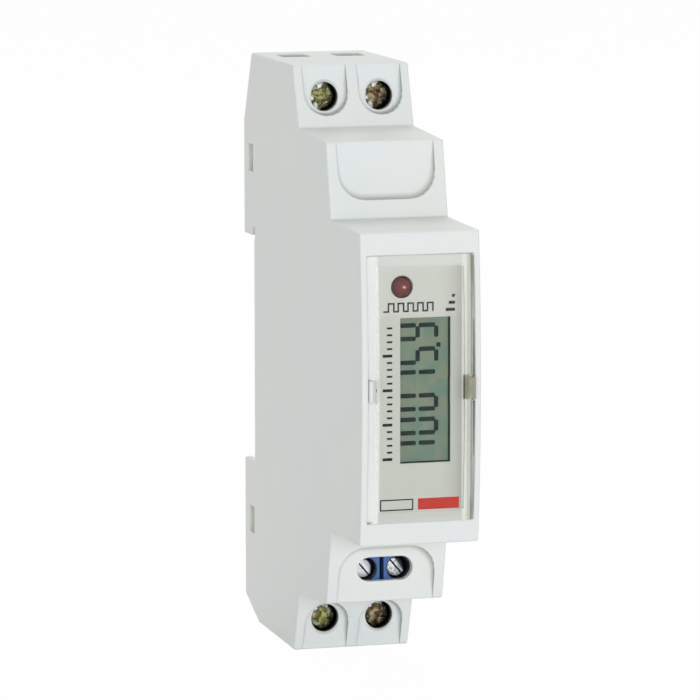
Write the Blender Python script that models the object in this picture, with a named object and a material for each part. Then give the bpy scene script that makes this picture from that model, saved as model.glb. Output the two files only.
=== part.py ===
"""DIN rail energy meter, one module wide.

A stepped plastic housing that clips onto a 35 mm rail.  It holds two screw
terminals at each end, a two-pole pulse output terminal, the current path, two
circuit boards and a liquid-crystal counter behind a clear snap-in window.

Frame: metres, +Z up, the front of the meter faces -Y.  The origin is the middle
of the flat face that rests on the rail: y = 0 is the rail's front surface and
z = 0 is the rail's centre line.
"""

import math

import bmesh
import bpy
from mathutils import Matrix, Vector

# Housing: one module, stepped alike above and below its middle
HOUSING_WIDTH = 0.0180
BODY_LIFT = 0.0004            # the housing's middle above the rail's centre line
SIDE_WALL = 0.0011
END_WALL = 0.0013
LEDGE_WALL = 0.0014
EDGE_ROUND = 0.00045

# Nose, with a gently convex front
NOSE_HALF_HEIGHT = 0.0227
NOSE_DROP = 0.00015           # its middle below the housing's
NOSE_DEPTH = 0.0557
NOSE_BULGE = 0.0011
NOSE_WALL = 0.0018
NOSE_STEPS = 12

# Middle tiers: the ledges lean a little, as moulded faces do
NOSE_DRAFT = 0.0003
TIER2_HEIGHT = 0.0111
TIER2_EDGE_DEPTH = 0.0387
TIER2_NOSE_DEPTH = 0.0412
TIER2_INNER_DEPTH = 0.0375

# Terminal tiers: the front face leans back towards the end
LEDGE_DRAFT = 0.0009
TIER1_HEIGHT = 0.0092
TIER1_END_DEPTH = 0.0215
TIER1_LEDGE_DEPTH = 0.0246
TIER1_INNER_DEPTH = 0.0209

# Rear outline
LIP_DEPTH = 0.0055            # how far the back reaches behind the rail's face
TOP_LEAN = 0.0003             # rise of the top face towards the rear
TOP_REAR_DEPTH = 0.0011
UPPER_SLOPE = 0.0105
LOWER_CHAMFER = 0.0033
BOTTOM_LEAN = 0.0008
BOTTOM_REAR_DEPTH = 0.0020

# 35 mm rail and the recess that takes it
RAIL_WIDTH = 0.0350
RAIL_THICKNESS = 0.0010
LIP_OVERLAP = 0.0007          # fixed lip over the rail's upper edge
HOOK_ROOM = 0.0006            # room above that edge, for hooking on
HOOK_SLACK = 0.0003           # behind the rail's edge
HOOK_UNDERCUT = 0.0004        # ahead of the rail's edge
SHELF_ROOM = 0.0006           # below the rail's lower edge

# Fits
GAP = 0.0003                  # between neighbouring pieces
WINDOW_GAP = 0.0002           # round the snap-in window

# Main terminals: two at each end, one on each side of a partition
PARTITION = 0.0012
TERMINAL_END_ROOM = 0.0004    # between a clamp and the end wall
SCREW_HOLE_RADIUS = 0.00215
GROOVE_RIB = 0.0017           # left between the two finger grooves
GROOVE_REACH = 0.0027         # from the screw's axis to the groove's closed end
GROOVE_DEPTH = 0.0016         # at the groove's closed end
GROOVE_END_DEPTH = 0.0001     # at the housing's end
WIRE_HOLE_HALF_WIDTH = 0.00225
WIRE_HOLE_HALF_DEPTH = 0.0026
WIRE_HOLE_CORNER = 0.0008
WIRE_HOLE_Y = 0.0056          # ahead of the rail's face
CHAMBER_FLOOR = 0.0010
CHAMBER_FLOOR_REAR = 0.0104

# Terminal screw and rising clamp
HEAD_LIP = 0.0002             # the head is this much wider than its hole
HEAD_HEIGHT = 0.0020
SHANK_RADIUS = 0.0015
SCREW_LENGTH = 0.0113
DRIVE_SLOT = 0.0008
DRIVE_DEPTH = 0.0009
CROSS_ARM = 0.0010
CROSS_SPAN = 0.0027
CROSS_DEPTH = 0.0012
SCREW_TURNED = (17.0, 11.0, 4.0, 12.0)   # how each slot stands, degrees
CLAMP_SIDE_ROOM = 0.00035
CLAMP_HALF_LENGTH = 0.0031
CLAMP_WALL = 0.0008
CLAMP_NUT = 0.0016
CLAMP_JAW = 0.0010

# Current path
BAR_THICKNESS = 0.0008
BAR_SIDE_ROOM = 0.0004        # inside the clamp
SHUNT_LENGTH = 0.0160
SHUNT_FLARE = 0.0007

# Thumb recesses in the middle tiers, and the pulse terminal's window
RECESS_MARGIN = 0.0016        # from the housing's side
RECESS_ABOVE_NOSE = 0.0027
RECESS_CORNER = 0.0040
RECESS_DEPTH = 0.0015         # at the recess's closed end
RECESS_END_DEPTH = 0.0001
PULSE_BELOW_NOSE = 0.0065
PULSE_WINDOW_RISE = 0.00025    # above the screws
PULSE_WINDOW_MARGIN = 0.00173
PULSE_WINDOW_HALF_HEIGHT = 0.0018

# Pulse output terminal
PULSE_PITCH = 0.00508
PULSE_BLOCK_TOP = 0.0038      # above the screws
PULSE_BLOCK_WALL = 0.0006
PULSE_GROOVE = 0.0006
PULSE_WELL_RADIUS = 0.0017
PULSE_WELL_DEPTH = 0.0012
PULSE_HEAD_ROOM = 0.00028     # round the head in its well
PULSE_HEAD_HEIGHT = 0.0013
PULSE_SHANK_RADIUS = 0.0009
PULSE_SCREW_LENGTH = 0.0054
PULSE_SLOT = 0.00045
PULSE_SLOT_DEPTH = 0.0005
PULSE_SLOT_TURNED = -40.0
PULSE_CLAMP_HALF_WIDTH = 0.00195
PULSE_CLAMP_HALF_LENGTH = 0.0021
PULSE_CLAMP_WALL = 0.0005
PULSE_CLAMP_NUT = 0.0009
PULSE_CLAMP_JAW = 0.0006
PULSE_CLAMP_OPEN = 0.0026     # wire room of the open clamp
PULSE_CONTACT = 0.0005
PULSE_WIRE_RADIUS = 0.0015

# Window and the ledge that it rests on
WINDOW_SIDE_FRAME = 0.0012
WINDOW_END_FRAME = 0.0035
WINDOW_RISE = 0.0011          # front of the window above the housing's front
WINDOW_BEVEL = 0.0006
WINDOW_WALL = 0.0011
WINDOW_LAND = 0.0013          # solid border round the window's hollow
REBATE_DEPTH = 0.0010         # below the nose's flat front edge
LEDGE_SIDE = 0.00095
LEDGE_END = 0.00105
CATCH_HALF_LENGTH = 0.0016
CATCH_REACH = 0.0008
CATCH_SET_BACK = 0.0001
CATCH_THICKNESS = 0.0005
LABEL_THICKNESS = 0.0003

# Display, its holder and the pulse LED
LED_X = -0.0026
LED_RADIUS = 0.0015
LED_FLANGE_RADIUS = 0.0019
LED_FLANGE_HEIGHT = 0.0008
LED_BELOW_EDGE = 0.0034       # from the opening's upper edge
LED_TO_HOLDER = 0.00055
DISPLAY_X = 0.00092
DISPLAY_Z = -0.0003
DISPLAY_SIDE_ROOM = 0.00008
GLASS_SIDE_BORDER = 0.00122
GLASS_END_BORDER = 0.00105
GLASS_THICKNESS = 0.0018
HOLDER_WALL = 0.0007
HOLDER_LIP = 0.0007
STRIP_WIDTH = 0.0013
STRIP_END_ROOM = 0.0004
STRIP_HEIGHT = 0.0017

# Boards and the larger components
BOARD_THICKNESS = 0.0012
DISPLAY_BOARD_SIDE_ROOM = 0.0009
DISPLAY_BOARD_END_ROOM = 0.0026
BOARD_END_ROOM = 0.0008
BOARD_REAR = 0.0106
HEADER_LENGTH = 0.0150
HEADER_WIDTH = 0.0025
CAPACITOR_HEADROOM = 0.0035
CAPACITOR_DEPTH = 0.0060
CAPACITOR_HEIGHT = 0.0130
CAPACITOR_YZ = (0.0205, 0.0185)
ELECTROLYTIC_HEADROOM = 0.0028
ELECTROLYTIC_RADIUS = 0.0040
ELECTROLYTIC_YZ = (0.0315, 0.0140)
VARISTOR_RADIUS = 0.0045
VARISTOR_THICKNESS = 0.0036
VARISTOR_YZ = (0.0160, 0.0040)
CHIP_SIZE = (0.0023, 0.0075, 0.0154)
CHIP_TO_HEADER = 0.00285
CHIP_Z = -0.0020
OPTOCOUPLER_SIZE = (0.0035, 0.0065, 0.0046)
OPTOCOUPLER_YZ = (0.0290, -0.0190)
RESISTOR_RADIUS = 0.0018
RESISTOR_LENGTH = 0.0110
RESISTOR_YZ = (0.0190, -0.0150)

# Rear base, rail clip and its spring
BASE_WALL = 0.0014
SNAP_BELOW_SLOPE = 0.0059
SNAP_Y = 0.0016
SNAP_WINDOW_HALF_DEPTH = 0.0013
SNAP_WINDOW_HALF_HEIGHT = 0.00206
SNAP_RISE = 0.00027            # the snaps' middle above the housing's
SNAP_REACH = 0.0006
CLIP_HALF_WIDTH = 0.0043
CLIP_FLANGE_HALF_WIDTH = 0.0056
CLIP_FLANGE = 0.0015
CLIP_BODY = 0.0035
CLIP_OVERLAP = 0.0011         # hook over the rail's lower edge
CLIP_NOTCH = 0.0016
CHANNEL_WALL_Y = 0.0009
TAB_HALF_WIDTH = 0.0013
TAB_REACH = 0.0038
TAB_HEIGHT = 0.0015
TAB_DROP = 0.0043             # below the hook's tip
SPRING_RADIUS = 0.0014
SPRING_WIRE = 0.0002
SPRING_FOOT = 0.0061          # above the clip's lower end
SPRING_TURNS = 7
POCKET_WALL = 0.0010

NOSE_MIDDLE = BODY_LIFT - NOSE_DROP

# Heights above or below the housing's middle, or the nose's for what the window covers
TIER2_NOSE_Z = NOSE_HALF_HEIGHT + NOSE_DRAFT
TIER2_EDGE_Z = TIER2_NOSE_Z + TIER2_HEIGHT
TIER1_LEDGE_Z = TIER2_EDGE_Z + LEDGE_DRAFT
END_HALF_HEIGHT = TIER1_LEDGE_Z + TIER1_HEIGHT
TOP_REAR_Z = END_HALF_HEIGHT + TOP_LEAN
UPPER_SLOPE_Z = TOP_REAR_Z - UPPER_SLOPE
BOTTOM_REAR_Z = END_HALF_HEIGHT - BOTTOM_LEAN
LOWER_SLOPE_Z = BOTTOM_REAR_Z - LOWER_CHAMFER
TERMINAL_Z = END_HALF_HEIGHT - END_WALL - TERMINAL_END_ROOM - CLAMP_HALF_LENGTH
GROOVE_BOTTOM_Z = TERMINAL_Z - GROOVE_REACH
RECESS_BOTTOM_Z = TIER2_NOSE_Z + RECESS_ABOVE_NOSE
PULSE_Z = TIER2_NOSE_Z + PULSE_BELOW_NOSE
SNAP_Z = UPPER_SLOPE_Z - SNAP_BELOW_SLOPE
WINDOW_HALF_HEIGHT = NOSE_HALF_HEIGHT - WINDOW_END_FRAME
LEDGE_OPENING_HALF_HEIGHT = WINDOW_HALF_HEIGHT - LEDGE_END
LED_Z = LEDGE_OPENING_HALF_HEIGHT - LED_BELOW_EDGE
GLASS_HALF_HEIGHT = LED_Z - LED_FLANGE_RADIUS - LED_TO_HOLDER - HOLDER_WALL - GAP - DISPLAY_Z
DISPLAY_HALF_HEIGHT = GLASS_HALF_HEIGHT - GLASS_END_BORDER
DISPLAY_BOARD_HALF_HEIGHT = NOSE_HALF_HEIGHT - LEDGE_WALL - DISPLAY_BOARD_END_ROOM
BOARD_HALF_HEIGHT = TIER1_LEDGE_Z - LEDGE_WALL - CHAMBER_FLOOR - BOARD_END_ROOM

# Widths either side of the housing's middle
HALF_WIDTH = HOUSING_WIDTH / 2
INNER_HALF_WIDTH = HALF_WIDTH - SIDE_WALL
TERMINAL_PITCH = INNER_HALF_WIDTH + PARTITION / 2
GROOVE_HALF_WIDTH = (TERMINAL_PITCH - GROOVE_RIB) / 2
HEAD_RADIUS = SCREW_HOLE_RADIUS + HEAD_LIP
CLAMP_HALF_WIDTH = (INNER_HALF_WIDTH - PARTITION / 2) / 2 - CLAMP_SIDE_ROOM
BAR_WIDTH = 2 * (CLAMP_HALF_WIDTH - CLAMP_WALL - BAR_SIDE_ROOM)
RECESS_HALF_WIDTH = HALF_WIDTH - RECESS_MARGIN
PULSE_WINDOW_HALF_WIDTH = PULSE_PITCH / 2 + PULSE_WINDOW_MARGIN
PULSE_HEAD_RADIUS = PULSE_WELL_RADIUS - PULSE_HEAD_ROOM
WINDOW_HALF_WIDTH = HALF_WIDTH - WINDOW_SIDE_FRAME
LEDGE_OPENING_HALF_WIDTH = WINDOW_HALF_WIDTH - LEDGE_SIDE
DISPLAY_BOARD_HALF_WIDTH = INNER_HALF_WIDTH - DISPLAY_BOARD_SIDE_ROOM
GLASS_HALF_WIDTH = DISPLAY_BOARD_HALF_WIDTH - DISPLAY_X - HOLDER_WALL - GAP - DISPLAY_SIDE_ROOM
DISPLAY_HALF_WIDTH = GLASS_HALF_WIDTH - GLASS_SIDE_BORDER
BOARD_TO_WALL = 2 * INNER_HALF_WIDTH - BOARD_THICKNESS - 2 * GAP
CAPACITOR_SIZE = (BOARD_TO_WALL - CAPACITOR_HEADROOM, CAPACITOR_DEPTH, CAPACITOR_HEIGHT)
ELECTROLYTIC_LENGTH = BOARD_TO_WALL - ELECTROLYTIC_HEADROOM

# Rail recess and clip
HOOK_TIP_Z = RAIL_WIDTH / 2 - LIP_OVERLAP
HOOK_TOP_Z = RAIL_WIDTH / 2 + HOOK_ROOM
HOOK_Y = RAIL_THICKNESS + HOOK_SLACK
SHELF_Z = -RAIL_WIDTH / 2 - SHELF_ROOM

for leftover in list(bpy.data.objects):
    bpy.data.objects.remove(leftover, do_unlink=True)


# Materials

def material(name, colour, roughness, metallic=0.0, alpha=1.0):
    mat = bpy.data.materials.new(name)
    mat.use_nodes = True
    shader = mat.node_tree.nodes["Principled BSDF"]
    shader.inputs["Base Color"].default_value = (*colour, 1.0)
    shader.inputs["Roughness"].default_value = roughness
    shader.inputs["Metallic"].default_value = metallic
    shader.inputs["Alpha"].default_value = alpha
    mat.diffuse_color = (*colour, alpha)
    return mat


PLASTIC = material("housing_plastic", (0.74, 0.76, 0.75), 0.45)
BASE_PLASTIC = material("base_plastic", (0.66, 0.67, 0.65), 0.5)
CLIP_PLASTIC = material("clip_plastic", (0.20, 0.21, 0.21), 0.5)
CLEAR = material("window_plastic", (0.90, 0.91, 0.88), 0.08, alpha=0.35)
LABEL = material("label_print", (0.57, 0.59, 0.55), 0.55)
GLASS = material("display_glass", (0.20, 0.29, 0.22), 0.15)
HOLDER = material("holder_plastic", (0.60, 0.60, 0.58), 0.5)
RUBBER = material("strip_rubber", (0.05, 0.05, 0.05), 0.8)
BOARD = material("board_laminate", (0.03, 0.16, 0.07), 0.4)
LED_RED = material("led_lens", (0.16, 0.03, 0.03), 0.2)
ZINC = material("screw_zinc", (0.42, 0.40, 0.26), 0.3, 1.0)
NICKEL = material("clamp_nickel", (0.55, 0.55, 0.52), 0.3, 1.0)
COPPER = material("tinned_copper", (0.62, 0.58, 0.52), 0.3, 1.0)
SHUNT_ALLOY = material("shunt_alloy", (0.50, 0.36, 0.25), 0.35, 1.0)
SPRING_STEEL = material("spring_steel", (0.45, 0.45, 0.46), 0.3, 1.0)
BLUE = material("pulse_blue", (0.06, 0.16, 0.42), 0.4)
STEEL = material("pulse_screw_steel", (0.62, 0.62, 0.64), 0.25, 1.0)
YELLOW = material("capacitor_yellow", (0.60, 0.45, 0.06), 0.4)
SLEEVE = material("electrolytic_sleeve", (0.02, 0.03, 0.06), 0.35)
VARISTOR = material("varistor_blue", (0.03, 0.10, 0.30), 0.45)
EPOXY = material("chip_epoxy", (0.02, 0.02, 0.02), 0.5)
OPTO_WHITE = material("optocoupler_epoxy", (0.62, 0.62, 0.60), 0.5)
RESISTOR = material("resistor_ceramic", (0.10, 0.26, 0.20), 0.55)


# Outlines, as lists of (u, v)

def rectangle(u0, u1, v0, v1):
    return [(u0, v0), (u1, v0), (u1, v1), (u0, v1)]


def circle(centre, radius, steps=32):
    u, v = centre
    return [(u + radius * math.cos(2 * math.pi * i / steps),
             v + radius * math.sin(2 * math.pi * i / steps)) for i in range(steps)]


def corner(u, v, radius, start, steps=6):
    """Quarter round about (u, v) from the angle start, in degrees."""
    return [(u + radius * math.cos(math.radians(start + 90 * i / steps)),
             v + radius * math.sin(math.radians(start + 90 * i / steps)))
            for i in range(steps + 1)]


def round_rectangle(u, v, half_u, half_v, radius):
    """Rectangle about (u, v) with quarter-round corners."""
    loop = []
    for turn, (su, sv) in enumerate(((1, 1), (-1, 1), (-1, -1), (1, -1))):
        loop += corner(u + su * (half_u - radius), v + sv * (half_v - radius), radius, 90 * turn)
    return loop


def stadium(half_width, half_height, z, steps=10):
    """Slot with round ends, about x = 0 at the height z."""
    run = half_width - half_height
    right = [(run + half_height * math.sin(math.pi * i / steps),
              z - half_height * math.cos(math.pi * i / steps)) for i in range(steps + 1)]
    return right + [(-u, 2 * z - v) for u, v in right]


def cross(u, v, half_arm, half_span):
    """Cross with four equal arms about (u, v)."""
    arm, span = half_arm, half_span
    loop = [(span, -arm), (span, arm), (arm, arm), (arm, span), (-arm, span), (-arm, arm)]
    return [(u + a, v + b) for a, b in loop] + [(u - a, v - b) for a, b in loop]


def open_slot(x, half_width, closed, radius, opening, side):
    """Slot from a closed end with two round corners to an opening; side is +1 or -1 in z."""
    inner = closed + radius
    run = half_width - radius
    loop = corner(-run, inner, radius, 180) + corner(run, inner, radius, 270)
    loop += [(half_width, opening), (-half_width, opening)]
    return [(x + u, BODY_LIFT + side * v) for u, v in loop]


# Solids

def finish(name, bm, mat, smooth=False):
    bmesh.ops.recalc_face_normals(bm, faces=bm.faces)
    mesh = bpy.data.meshes.new(name)
    bm.to_mesh(mesh)
    bm.free()
    obj = bpy.data.objects.new(name, mesh)
    bpy.context.collection.objects.link(obj)
    if mat is not None:
        mesh.materials.append(mat)
    if smooth:
        mesh.shade_smooth()
        mesh.set_sharp_from_angle(angle=math.radians(35))
    return obj


def prism(name, outline, axis, start, end, mat=None, smooth=False):
    """Outline extruded along X, Y or Z; start and end may be functions of (u, v)."""
    bm = bmesh.new()
    loops = []
    for level in (start, end):
        ring = []
        for u, v in outline:
            w = level(u, v) if callable(level) else level
            place = {"X": (w, u, v), "Y": (u, w, v), "Z": (u, v, w)}[axis]
            ring.append(bm.verts.new(place))
        loops.append(ring)
    bm.faces.new(loops[0])
    bm.faces.new(reversed(loops[1]))
    count = len(outline)
    for i in range(count):
        j = (i + 1) % count
        bm.faces.new((loops[0][j], loops[0][i], loops[1][i], loops[1][j]))
    return finish(name, bm, mat, smooth)


def box(name, x0, x1, y0, y1, z0, z1, mat=None):
    return prism(name, rectangle(x0, x1, y0, y1), "Z", z0, z1, mat)


def rod(name, axis, centre, radius, start, end, mat=None, steps=32):
    return prism(name, circle(centre, radius, steps), axis, start, end, mat, smooth=True)


def turned(name, profile, x, z, mat, steps=32):
    """Body of revolution about the Y line through (x, z); profile is a list of (radius, y)."""
    bm = bmesh.new()
    rings = []
    for radius, y in profile:
        if radius == 0:
            rings.append([bm.verts.new((x, y, z))])
        else:
            rings.append([bm.verts.new((x + u, y, z + v)) for u, v in circle((0, 0), radius, steps)])
    for a, b in zip(rings, rings[1:]):
        for i in range(steps):
            j = (i + 1) % steps
            loop = [a[i % len(a)], a[j % len(a)], b[j % len(b)], b[i % len(b)]]
            loop = list(dict.fromkeys(loop))
            bm.faces.new(loop)
    return finish(name, bm, mat, smooth=True)


def combine(obj, others, operation):
    for other in others:
        modifier = obj.modifiers.new(operation.lower(), "BOOLEAN")
        modifier.operation = operation
        modifier.solver = "EXACT"
        modifier.object = other
        other.hide_render = True
        other.display_type = "WIRE"
    return obj


def add(obj, *others):
    return combine(obj, others, "UNION")


def cut(obj, *others):
    return combine(obj, others, "DIFFERENCE")


def turn_about_y(obj, x, z, degrees):
    pivot = Matrix.Translation((x, 0, z))
    obj.data.transform(pivot @ Matrix.Rotation(math.radians(degrees), 4, "Y") @ pivot.inverted())
    return obj


def set_origin(obj, point):
    """Moves the object's origin to the point and leaves its shape where it is."""
    obj.data.transform(Matrix.Translation(-Vector(point)))
    obj.location = point
    return obj


# Housing

def nose_front(z):
    """y of the nose's convex front at the height z."""
    t = (z - NOSE_MIDDLE) / NOSE_HALF_HEIGHT
    return -NOSE_DEPTH - NOSE_BULGE * (1 - min(1.0, t * t))


def half_profile(side):
    """Front outline of one half, from the end to the nose, as (y, z)."""
    steps = [(TIER1_END_DEPTH, END_HALF_HEIGHT), (TIER1_LEDGE_DEPTH, TIER1_LEDGE_Z),
             (TIER2_EDGE_DEPTH, TIER2_EDGE_Z), (TIER2_NOSE_DEPTH, TIER2_NOSE_Z)]
    return [(-depth, BODY_LIFT + side * z) for depth, z in steps]


def cavity_profile(side):
    steps = [(TIER1_INNER_DEPTH, END_HALF_HEIGHT - END_WALL),
             (TIER1_INNER_DEPTH, TIER1_LEDGE_Z - LEDGE_WALL),
             (TIER2_INNER_DEPTH, TIER2_EDGE_Z - LEDGE_WALL),
             (TIER2_INNER_DEPTH, TIER2_NOSE_Z - LEDGE_WALL),
             (NOSE_DEPTH - NOSE_WALL, NOSE_HALF_HEIGHT - LEDGE_WALL - side * NOSE_DROP)]
    return [(-depth, BODY_LIFT + side * z) for depth, z in steps]


def slope_y(z):
    """y of the upper back slope at the height z."""
    t = (z - BODY_LIFT - UPPER_SLOPE_Z) / (TOP_REAR_Z - UPPER_SLOPE_Z)
    return LIP_DEPTH + t * (TOP_REAR_DEPTH - LIP_DEPTH)


def chamfer_z(y):
    """z of the lower back chamfer at y."""
    t = (LIP_DEPTH - y) / (LIP_DEPTH + BOTTOM_REAR_DEPTH)
    return BODY_LIFT - LOWER_SLOPE_Z - t * (BOTTOM_REAR_Z - LOWER_SLOPE_Z)


def housing_outline():
    nose = []
    for i in range(NOSE_STEPS + 1):
        z = NOSE_MIDDLE + NOSE_HALF_HEIGHT * (1 - 2 * i / NOSE_STEPS)
        nose.append((nose_front(z), z))
    rail = [(LIP_DEPTH, SHELF_Z), (0.0, SHELF_Z), (0.0, HOOK_TIP_Z - HOOK_UNDERCUT),
            (-HOOK_UNDERCUT, HOOK_TIP_Z), (-HOOK_UNDERCUT, HOOK_TOP_Z),
            (HOOK_Y, HOOK_TOP_Z), (HOOK_Y, HOOK_TIP_Z), (LIP_DEPTH, HOOK_TIP_Z)]
    rear = [(-BOTTOM_REAR_DEPTH, BODY_LIFT - BOTTOM_REAR_Z), (LIP_DEPTH, BODY_LIFT - LOWER_SLOPE_Z)]
    rear += rail
    rear += [(LIP_DEPTH, BODY_LIFT + UPPER_SLOPE_Z), (TOP_REAR_DEPTH, BODY_LIFT + TOP_REAR_Z)]
    return half_profile(1) + nose + half_profile(-1)[::-1] + rear


def wall_slope(side, near_z, near_y, far_z, far_y):
    """Plane through two heights, as a function of the outline's (x, z)."""
    def level(_, z):
        t = (side * (z - BODY_LIFT) - near_z) / (far_z - near_z)
        return near_y + t * (far_y - near_y)
    return level


def tier1_front(z):
    t = (z - TIER1_LEDGE_Z) / (END_HALF_HEIGHT - TIER1_LEDGE_Z)
    return -TIER1_LEDGE_DEPTH + t * (TIER1_LEDGE_DEPTH - TIER1_END_DEPTH)


def tier2_front(z):
    t = (z - TIER2_NOSE_Z) / (TIER2_EDGE_Z - TIER2_NOSE_Z)
    return -TIER2_NOSE_DEPTH + t * (TIER2_NOSE_DEPTH - TIER2_EDGE_DEPTH)


def make_housing():
    shell = prism("housing_shell", housing_outline(), "X", -HALF_WIDTH, HALF_WIDTH, PLASTIC)
    bevel = shell.modifiers.new("edge_round", "BEVEL")
    bevel.width = EDGE_ROUND
    bevel.segments = 2
    bevel.limit_method = "ANGLE"
    bevel.angle_limit = math.radians(30)

    behind = LIP_DEPTH + LEDGE_WALL
    cavity = cavity_profile(1) + cavity_profile(-1)[::-1]
    cavity = [(behind, cavity[0][1])] + cavity + [(behind, cavity[-1][1])]
    cut(shell, prism("cutter_cavity", cavity, "X", -INNER_HALF_WIDTH, INNER_HALF_WIDTH))

    # walls round the terminal chambers
    chamber_z = TIER1_LEDGE_Z - LEDGE_WALL
    reach = END_HALF_HEIGHT - END_WALL / 2
    for side in (1, -1):
        z0, z1 = sorted((BODY_LIFT + side * (chamber_z - CHAMBER_FLOOR), BODY_LIFT + side * reach))
        add(shell, box(f"partition_{side}", -PARTITION / 2, PARTITION / 2,
                       -TIER1_INNER_DEPTH - LEDGE_WALL / 2, pocket_front() - POCKET_WALL - GAP, z0, z1))
        z0, z1 = sorted((BODY_LIFT + side * (chamber_z - CHAMBER_FLOOR), BODY_LIFT + side * chamber_z))
        wide = INNER_HALF_WIDTH + SIDE_WALL / 2
        add(shell, box(f"chamber_floor_{side}", -wide, wide,
                       -TIER1_INNER_DEPTH - LEDGE_WALL / 2, -CHAMBER_FLOOR_REAR, z0, z1))

    # finger grooves, screw holes and wire entries of the main terminals
    out = 2 * GROOVE_HALF_WIDTH
    for side in (1, -1):
        floor = wall_slope(side, GROOVE_BOTTOM_Z, tier1_front(GROOVE_BOTTOM_Z) + GROOVE_DEPTH,
                           END_HALF_HEIGHT, -TIER1_END_DEPTH + GROOVE_END_DEPTH)
        for x in (-TERMINAL_PITCH / 2, TERMINAL_PITCH / 2):
            tag = f"{side}_{x > 0}"
            groove = open_slot(x, GROOVE_HALF_WIDTH, GROOVE_BOTTOM_Z, GROOVE_HALF_WIDTH * 0.97,
                               END_HALF_HEIGHT + EDGE_ROUND, side)
            cut(shell,
                prism(f"cutter_groove_{tag}", groove, "Y", -TIER1_LEDGE_DEPTH - out, floor),
                rod(f"cutter_screw_{tag}", "Y", (x, BODY_LIFT + side * TERMINAL_Z), SCREW_HOLE_RADIUS,
                    -TIER1_LEDGE_DEPTH - out, -TIER1_INNER_DEPTH + LEDGE_WALL),
                prism(f"cutter_wire_{tag}",
                      round_rectangle(x, -WIRE_HOLE_Y, WIRE_HOLE_HALF_WIDTH, WIRE_HOLE_HALF_DEPTH,
                                      WIRE_HOLE_CORNER), "Z",
                      *sorted((BODY_LIFT + side * (END_HALF_HEIGHT - 2 * END_WALL),
                               BODY_LIFT + side * (TOP_REAR_Z + END_WALL)))))

    # thumb recesses in the middle tiers
    for side in (1, -1):
        floor = wall_slope(side, RECESS_BOTTOM_Z, tier2_front(RECESS_BOTTOM_Z) + RECESS_DEPTH,
                           TIER2_EDGE_Z, -TIER2_EDGE_DEPTH + RECESS_END_DEPTH)
        recess = open_slot(0.0, RECESS_HALF_WIDTH, RECESS_BOTTOM_Z, RECESS_CORNER,
                           TIER2_EDGE_Z + LEDGE_WALL / 2, side)
        cut(shell, prism(f"cutter_recess_{side}", recess, "Y", -NOSE_DEPTH, floor))

    # pulse terminal: its window, and its wire entries in the ledge below
    pulse_z = BODY_LIFT - PULSE_Z + PULSE_WINDOW_RISE
    window = stadium(PULSE_WINDOW_HALF_WIDTH, PULSE_WINDOW_HALF_HEIGHT, pulse_z)
    cut(shell, prism("cutter_pulse_window", window, "Y", -NOSE_DEPTH, -TIER2_INNER_DEPTH + LEDGE_WALL))
    for x in (-PULSE_PITCH / 2, PULSE_PITCH / 2):
        cut(shell, rod(f"cutter_pulse_wire_{x > 0}", "Z", (x, pulse_wire_y()), PULSE_WIRE_RADIUS,
                       BODY_LIFT - TIER1_LEDGE_Z - LEDGE_WALL,
                       BODY_LIFT - TIER2_EDGE_Z + 2 * LEDGE_WALL, steps=24))

    # rebate and opening of the window, with the catches that hold it
    wide = WINDOW_HALF_WIDTH + WINDOW_GAP
    high = WINDOW_HALF_HEIGHT + WINDOW_GAP
    front = -NOSE_DEPTH - NOSE_BULGE - LEDGE_WALL
    cut(shell,
        box("cutter_rebate", -wide, wide, front, -NOSE_DEPTH + REBATE_DEPTH,
            NOSE_MIDDLE - high, NOSE_MIDDLE + high),
        box("cutter_opening", -LEDGE_OPENING_HALF_WIDTH, LEDGE_OPENING_HALF_WIDTH,
            front, -NOSE_DEPTH + NOSE_WALL + LEDGE_WALL,
            NOSE_MIDDLE - LEDGE_OPENING_HALF_HEIGHT, NOSE_MIDDLE + LEDGE_OPENING_HALF_HEIGHT))
    catch_front = nose_front(NOSE_MIDDLE) + CATCH_SET_BACK
    for side in (1, -1):
        x0, x1 = sorted((side * (wide - CATCH_REACH), side * (wide + SIDE_WALL / 3)))
        add(shell, box(f"catch_{side}", x0, x1, catch_front, catch_front + CATCH_THICKNESS,
                       NOSE_MIDDLE - CATCH_HALF_LENGTH, NOSE_MIDDLE + CATCH_HALF_LENGTH))

    # windows for the rear base's snaps
    for side in (1, -1):
        z = BODY_LIFT + SNAP_RISE + side * SNAP_Z
        cut(shell, box(f"cutter_snap_{side}", -HALF_WIDTH - SIDE_WALL, HALF_WIDTH + SIDE_WALL,
                       SNAP_Y - SNAP_WINDOW_HALF_DEPTH, SNAP_Y + SNAP_WINDOW_HALF_DEPTH,
                       z - SNAP_WINDOW_HALF_HEIGHT, z + SNAP_WINDOW_HALF_HEIGHT))
    return shell


# Rear base, rail clip and spring

def clip_front():
    return HOOK_Y


def clip_top():
    return -RAIL_WIDTH / 2 + CLIP_OVERLAP


def spring_y():
    return CHANNEL_WALL_Y - SPRING_WIRE - SPRING_RADIUS - GAP


def pocket_front():
    return spring_y() - SPRING_RADIUS - SPRING_WIRE - 2 * GAP


def clip_bottom():
    return BODY_LIFT - LOWER_SLOPE_Z + GAP


def tab_top():
    return clip_top() - TAB_DROP


def spring_bottom():
    return clip_bottom() + SPRING_FOOT


def spring_length():
    return tab_top() - TAB_HEIGHT - GAP - spring_bottom()


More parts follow.
